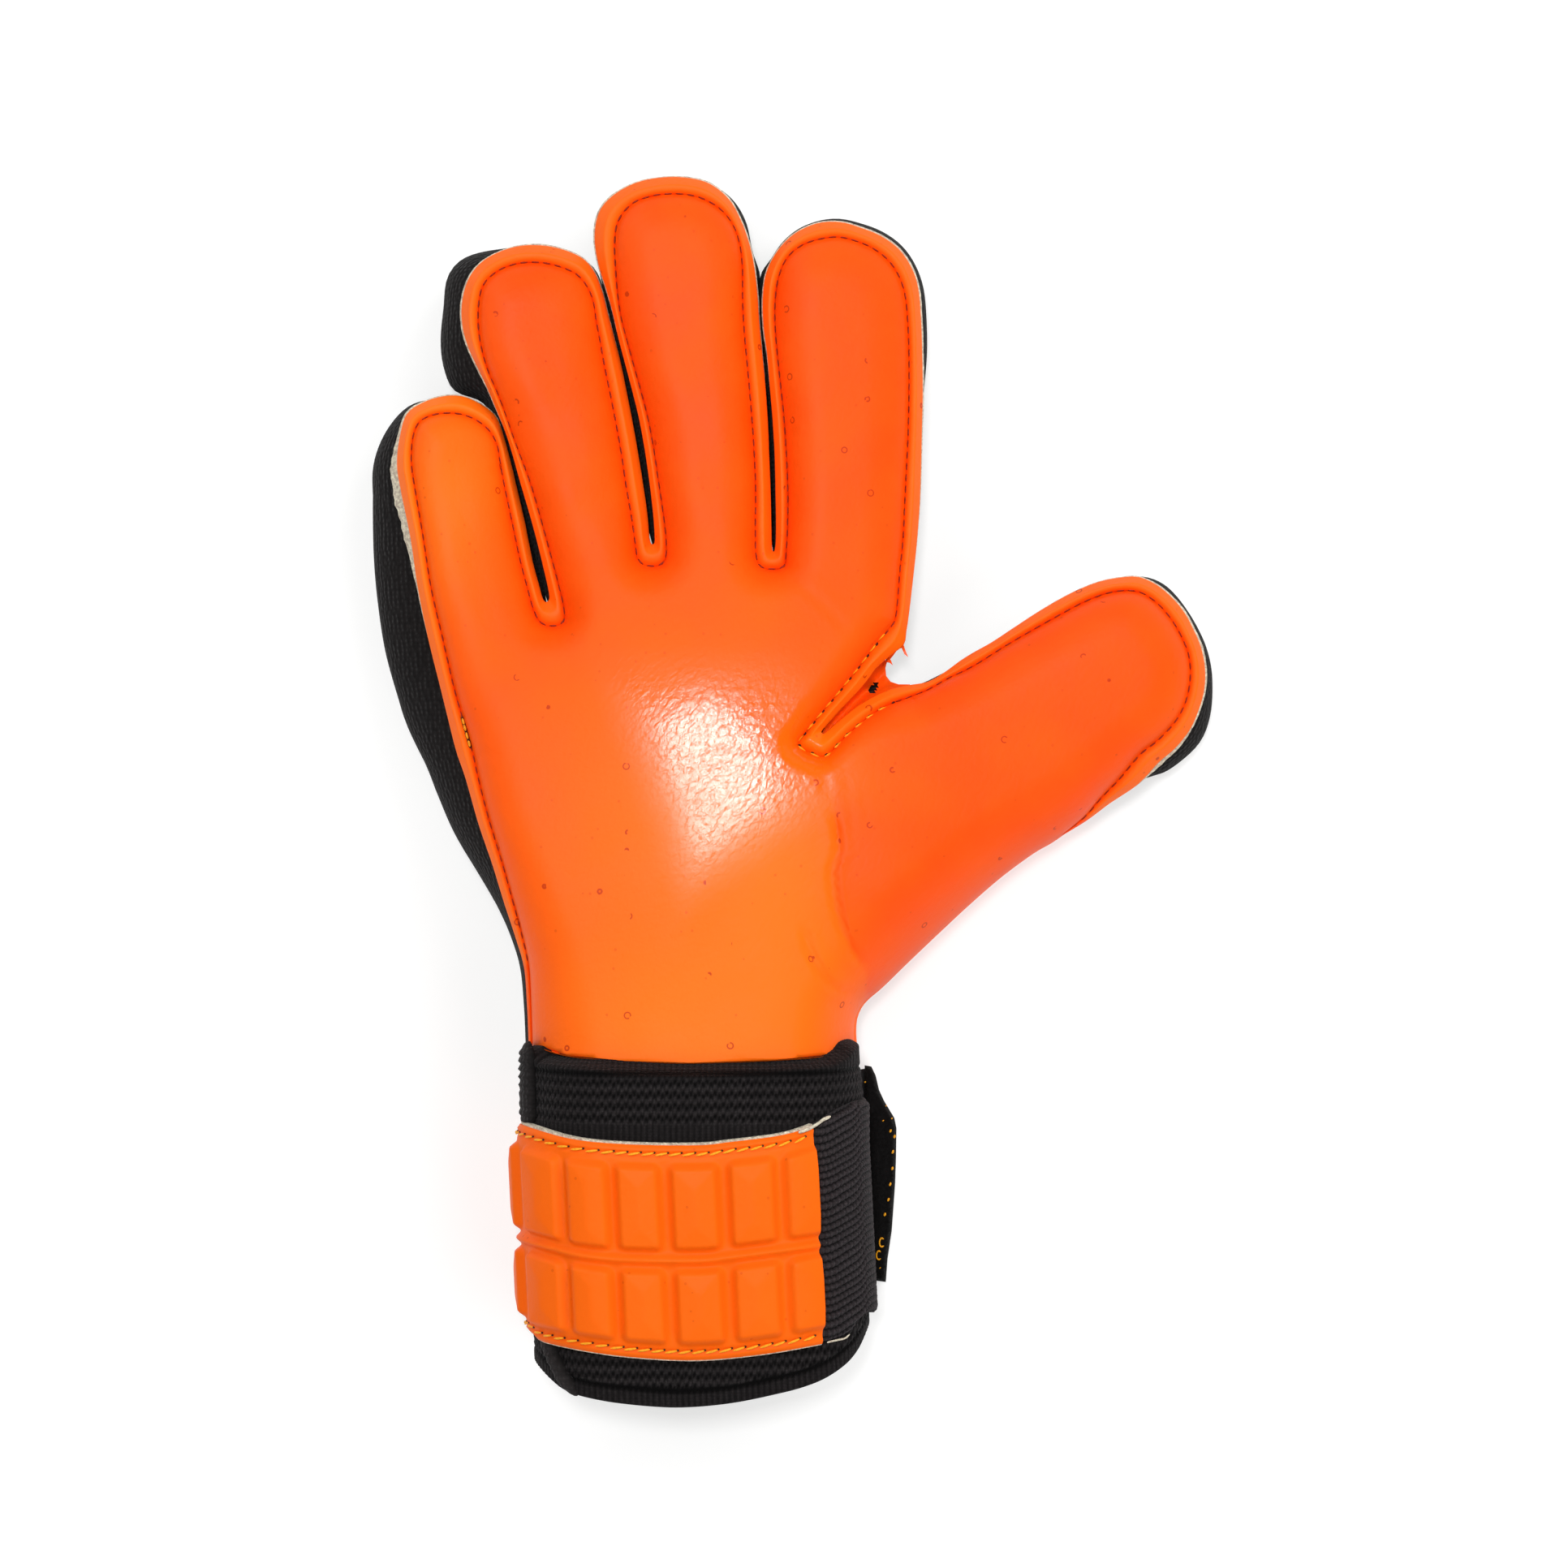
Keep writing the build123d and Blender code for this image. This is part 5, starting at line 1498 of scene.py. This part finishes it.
TAB_SPECKS = [(16.8, -66.5), (20.9, -75.3), (22.9, -74.8), (21.6, -71.9), (20.2, -108.9)]
TAB_TOP = 3.2


def weave(x, y):
    return 0.12 * np.cos(2 * math.pi * x / 1.6) * np.cos(2 * math.pi * y / 1.6)


def hooks(x, y):
    return 0.35 * np.maximum(np.cos(2 * math.pi * x / 1.7) * np.cos(2 * math.pi * y / 1.7), 0)


def fuzz(x, y):
    return 0.14 * (np.sin(x * 5.1 + 2 * np.sin(y * 3.7)) + np.sin(y * 6.3 + 2 * np.sin(x * 4.3)))


def make_flap():
    """The closing flap under the cuff: band, hook patch and the tab that shows past the strap."""
    for name, plan, low, high, rim, step, relief, mat, slot_name, body, nodes in (
            ("flap_webbing", FLAP_PLAN, 0.05, 1.9, 0.9, 0.8, weave, WEBBING, "strap_webbing",
             "strap_flap", ["flap_band"]),
            ("hook_patch", HOOK_PLAN, 1.95, 2.9, 0.5, 0.6, hooks, HOOK_LOOP, "hook_and_loop",
             "strap_flap", ["flap_hook_patch"]),
            ("loop_patch", LOOP_PLAN, 3.45, 4.6, 0.5, 0.8, None, HOOK_LOOP, "hook_and_loop",
             "cuff", ["strap_loop_patch"]),
            ("tab", TAB_PLAN, 0.05, TAB_TOP, 0.9, 0.55, fuzz, HOOK_LOOP, "hook_and_loop",
             "strap_flap", ["pull_tab"])):
        points, faces = pillow(plan, low, high, rim, step, relief)
        finish_piece(name, points, faces, mat, slot_name, body, nodes)


def make_tab_threads():
    """Ends of bright thread that show through the tab."""
    parts = []
    for places, along, length, radius in ((TAB_DOTS, (0.3, 0.95, 0.0), 0.9, 0.30),
                                          (TAB_SPECKS, (0.8, 0.6, 0.0), 0.45, 0.16)):
        centres = straighten([(x, y, TAB_TOP) for x, y in places])
        parts.append(stitch_mesh(centres, along, UP, length, radius))
    for x, y in TAB_LOOPS:
        angle = np.radians(np.arange(60, 301, 30))
        arc = straighten(np.c_[x + 0.55 * np.cos(angle), y + 1.0 * np.sin(angle),
                               np.full(len(angle), TAB_TOP + 0.1)])
        parts.append(stitch_mesh((arc[1:] + arc[:-1]) / 2, unit(np.diff(arc, axis=0)), UP, 0.75, 0.2))
    points, faces, _ = joined([(p, f, []) for p, f in parts])
    finish_piece("tab_threads", points, faces, BRIGHT_THREAD, "hook_and_loop", "strap_flap")


def make_turn():
    """The webbing that carries the strap round the ulnar side to the flap."""
    s = np.linspace(PAD_WRAP + 3.0, PAD_WRAP - 1.5, 6)
    x, z = around(s, 0.9)
    route = np.r_[np.c_[x, z], [(-56.4, 3.4), (-57.4, 1.9), (-56.6, 1.0), (-53.0, 0.95)]]
    route = spline(route, 0.6)[0]
    step = unit(np.gradient(route, axis=0))
    normal = np.c_[step[:, 1], -step[:, 0]]
    share = np.linspace(0, 1, 50)
    top, foot = -77.4, -126.0
    y = (top + (foot - top) * share)[None, :] * np.ones((len(route), 1))
    layers = []
    for side in (0.7, -0.7):
        line = route + normal * side
        relief = 0.1 * np.cos(2 * math.pi * y / 1.6) * np.sign(side)
        layers.append(np.stack([line[:, :1] + normal[:, :1] * relief, y,
                                line[:, 1:] + normal[:, 1:] * relief], axis=-1))
    points, faces = slab(*layers)
    obj = make_object("strap_turn", points, faces, WEBBING, vertex_normals(points, faces))
    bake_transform(obj)


def make_torn_edge():
    """Torn bits of the index finger's rim, over the opening beside the thumb."""
    for name, plan in (("torn_tab", TORN_TAB), ("torn_shred", TORN_SHRED)):
        points, faces = pillow(plan, 19.6, 20.5, 0.3, 0.35)
        finish_piece(name, straighten(points), faces, WEB_LATEX, "palm_latex", "hand")


make_torn_edge()
make_pad()
make_strap_stitches()
make_elastic()
make_tail("backing_tail", [(1.5, -77.9), (4.0, -77.0), (5.9, -75.9), (7.3, -74.9), (8.8, -74.3)],
          0.42, 0.35, 3.2, BACKING)
make_tail("thread_tail", [(8.2, -125.8), (10.4, -125.3), (12.2, -124.9), (13.3, -124.0)],
          0.22, 0.2, 2.9, BACKING)
make_flap()
make_tab_threads()
make_turn()


# ------------------------------------------------------------------ studio
def area_light(name, place, target, size, power):
    """A square lamp that faces a target."""
    data = bpy.data.lights.new(name, "AREA")
    data.shape = "RECTANGLE"
    data.size = data.size_y = size
    data.energy = power
    lamp = bpy.data.objects.new(name, data)
    lamp.location = place
    lamp.rotation_euler = (Vector(target) - Vector(place)).to_track_quat("-Z", "Y").to_euler()
    bpy.context.scene.collection.objects.link(lamp)
    return lamp


# Lamps: places and sizes in metres, powers in watts. The key lamp makes the palm's highlight.
KEY_PLACE, KEY_TARGET = (-0.058, 0.156, 1.1), (-0.015, 0.005, 0.04)
KEY_SIZE, KEY_POWER = 0.125, 5.0
SOFT_REACH, SOFT_HEIGHT, SOFT_SIZE = 0.95, 0.75, 0.8
SOFT_POWERS = [7.2, 4.3, 2.3, 5.0]   # the light comes mostly from the upper right


def make_studio():
    """A plain pale floor, soft light from above and the camera over the palm."""
    bpy.ops.mesh.primitive_plane_add(size=6.0, location=(0, 0, -0.0005))
    floor = bpy.context.object
    floor.name = "floor"
    mat, _ = material("floor", (0.5, 0.5, 0.5), 0.95)
    finish_material(mat, Specular_IOR_Level=0.1, Emission_Color=(1, 1, 0.99, 1),
                    Emission_Strength=0.56)
    floor.data.materials.append(mat)
    scene = bpy.context.scene
    world = bpy.data.worlds.new("studio")
    scene.world = world
    world.use_nodes = True
    sky = world.node_tree.nodes["Background"].inputs
    sky["Color"].default_value = (1, 1, 1, 1)
    sky["Strength"].default_value = 0.1
    area_light("key", KEY_PLACE, KEY_TARGET, KEY_SIZE, KEY_POWER)
    for turn, power in enumerate(SOFT_POWERS):
        angle = math.radians(45 + 90 * turn)
        place = (SOFT_REACH * math.cos(angle), SOFT_REACH * math.sin(angle), SOFT_HEIGHT)
        lamp = area_light(f"soft_{turn}", place, (0, 0, 0), SOFT_SIZE, power)
        lamp.visible_glossy = False
    data = bpy.data.cameras.new("camera")
    data.sensor_width = 36.0
    data.lens = data.sensor_width * (CAMERA_HEIGHT - SEAM_PLANE) / VIEW_WIDTH
    camera = bpy.data.objects.new("camera", data)
    camera.location = np.array([*CAMERA_PLACE, CAMERA_HEIGHT]) * MM
    scene.collection.objects.link(camera)
    scene.camera = camera
    scene.view_settings.view_transform = "Standard"


make_studio()
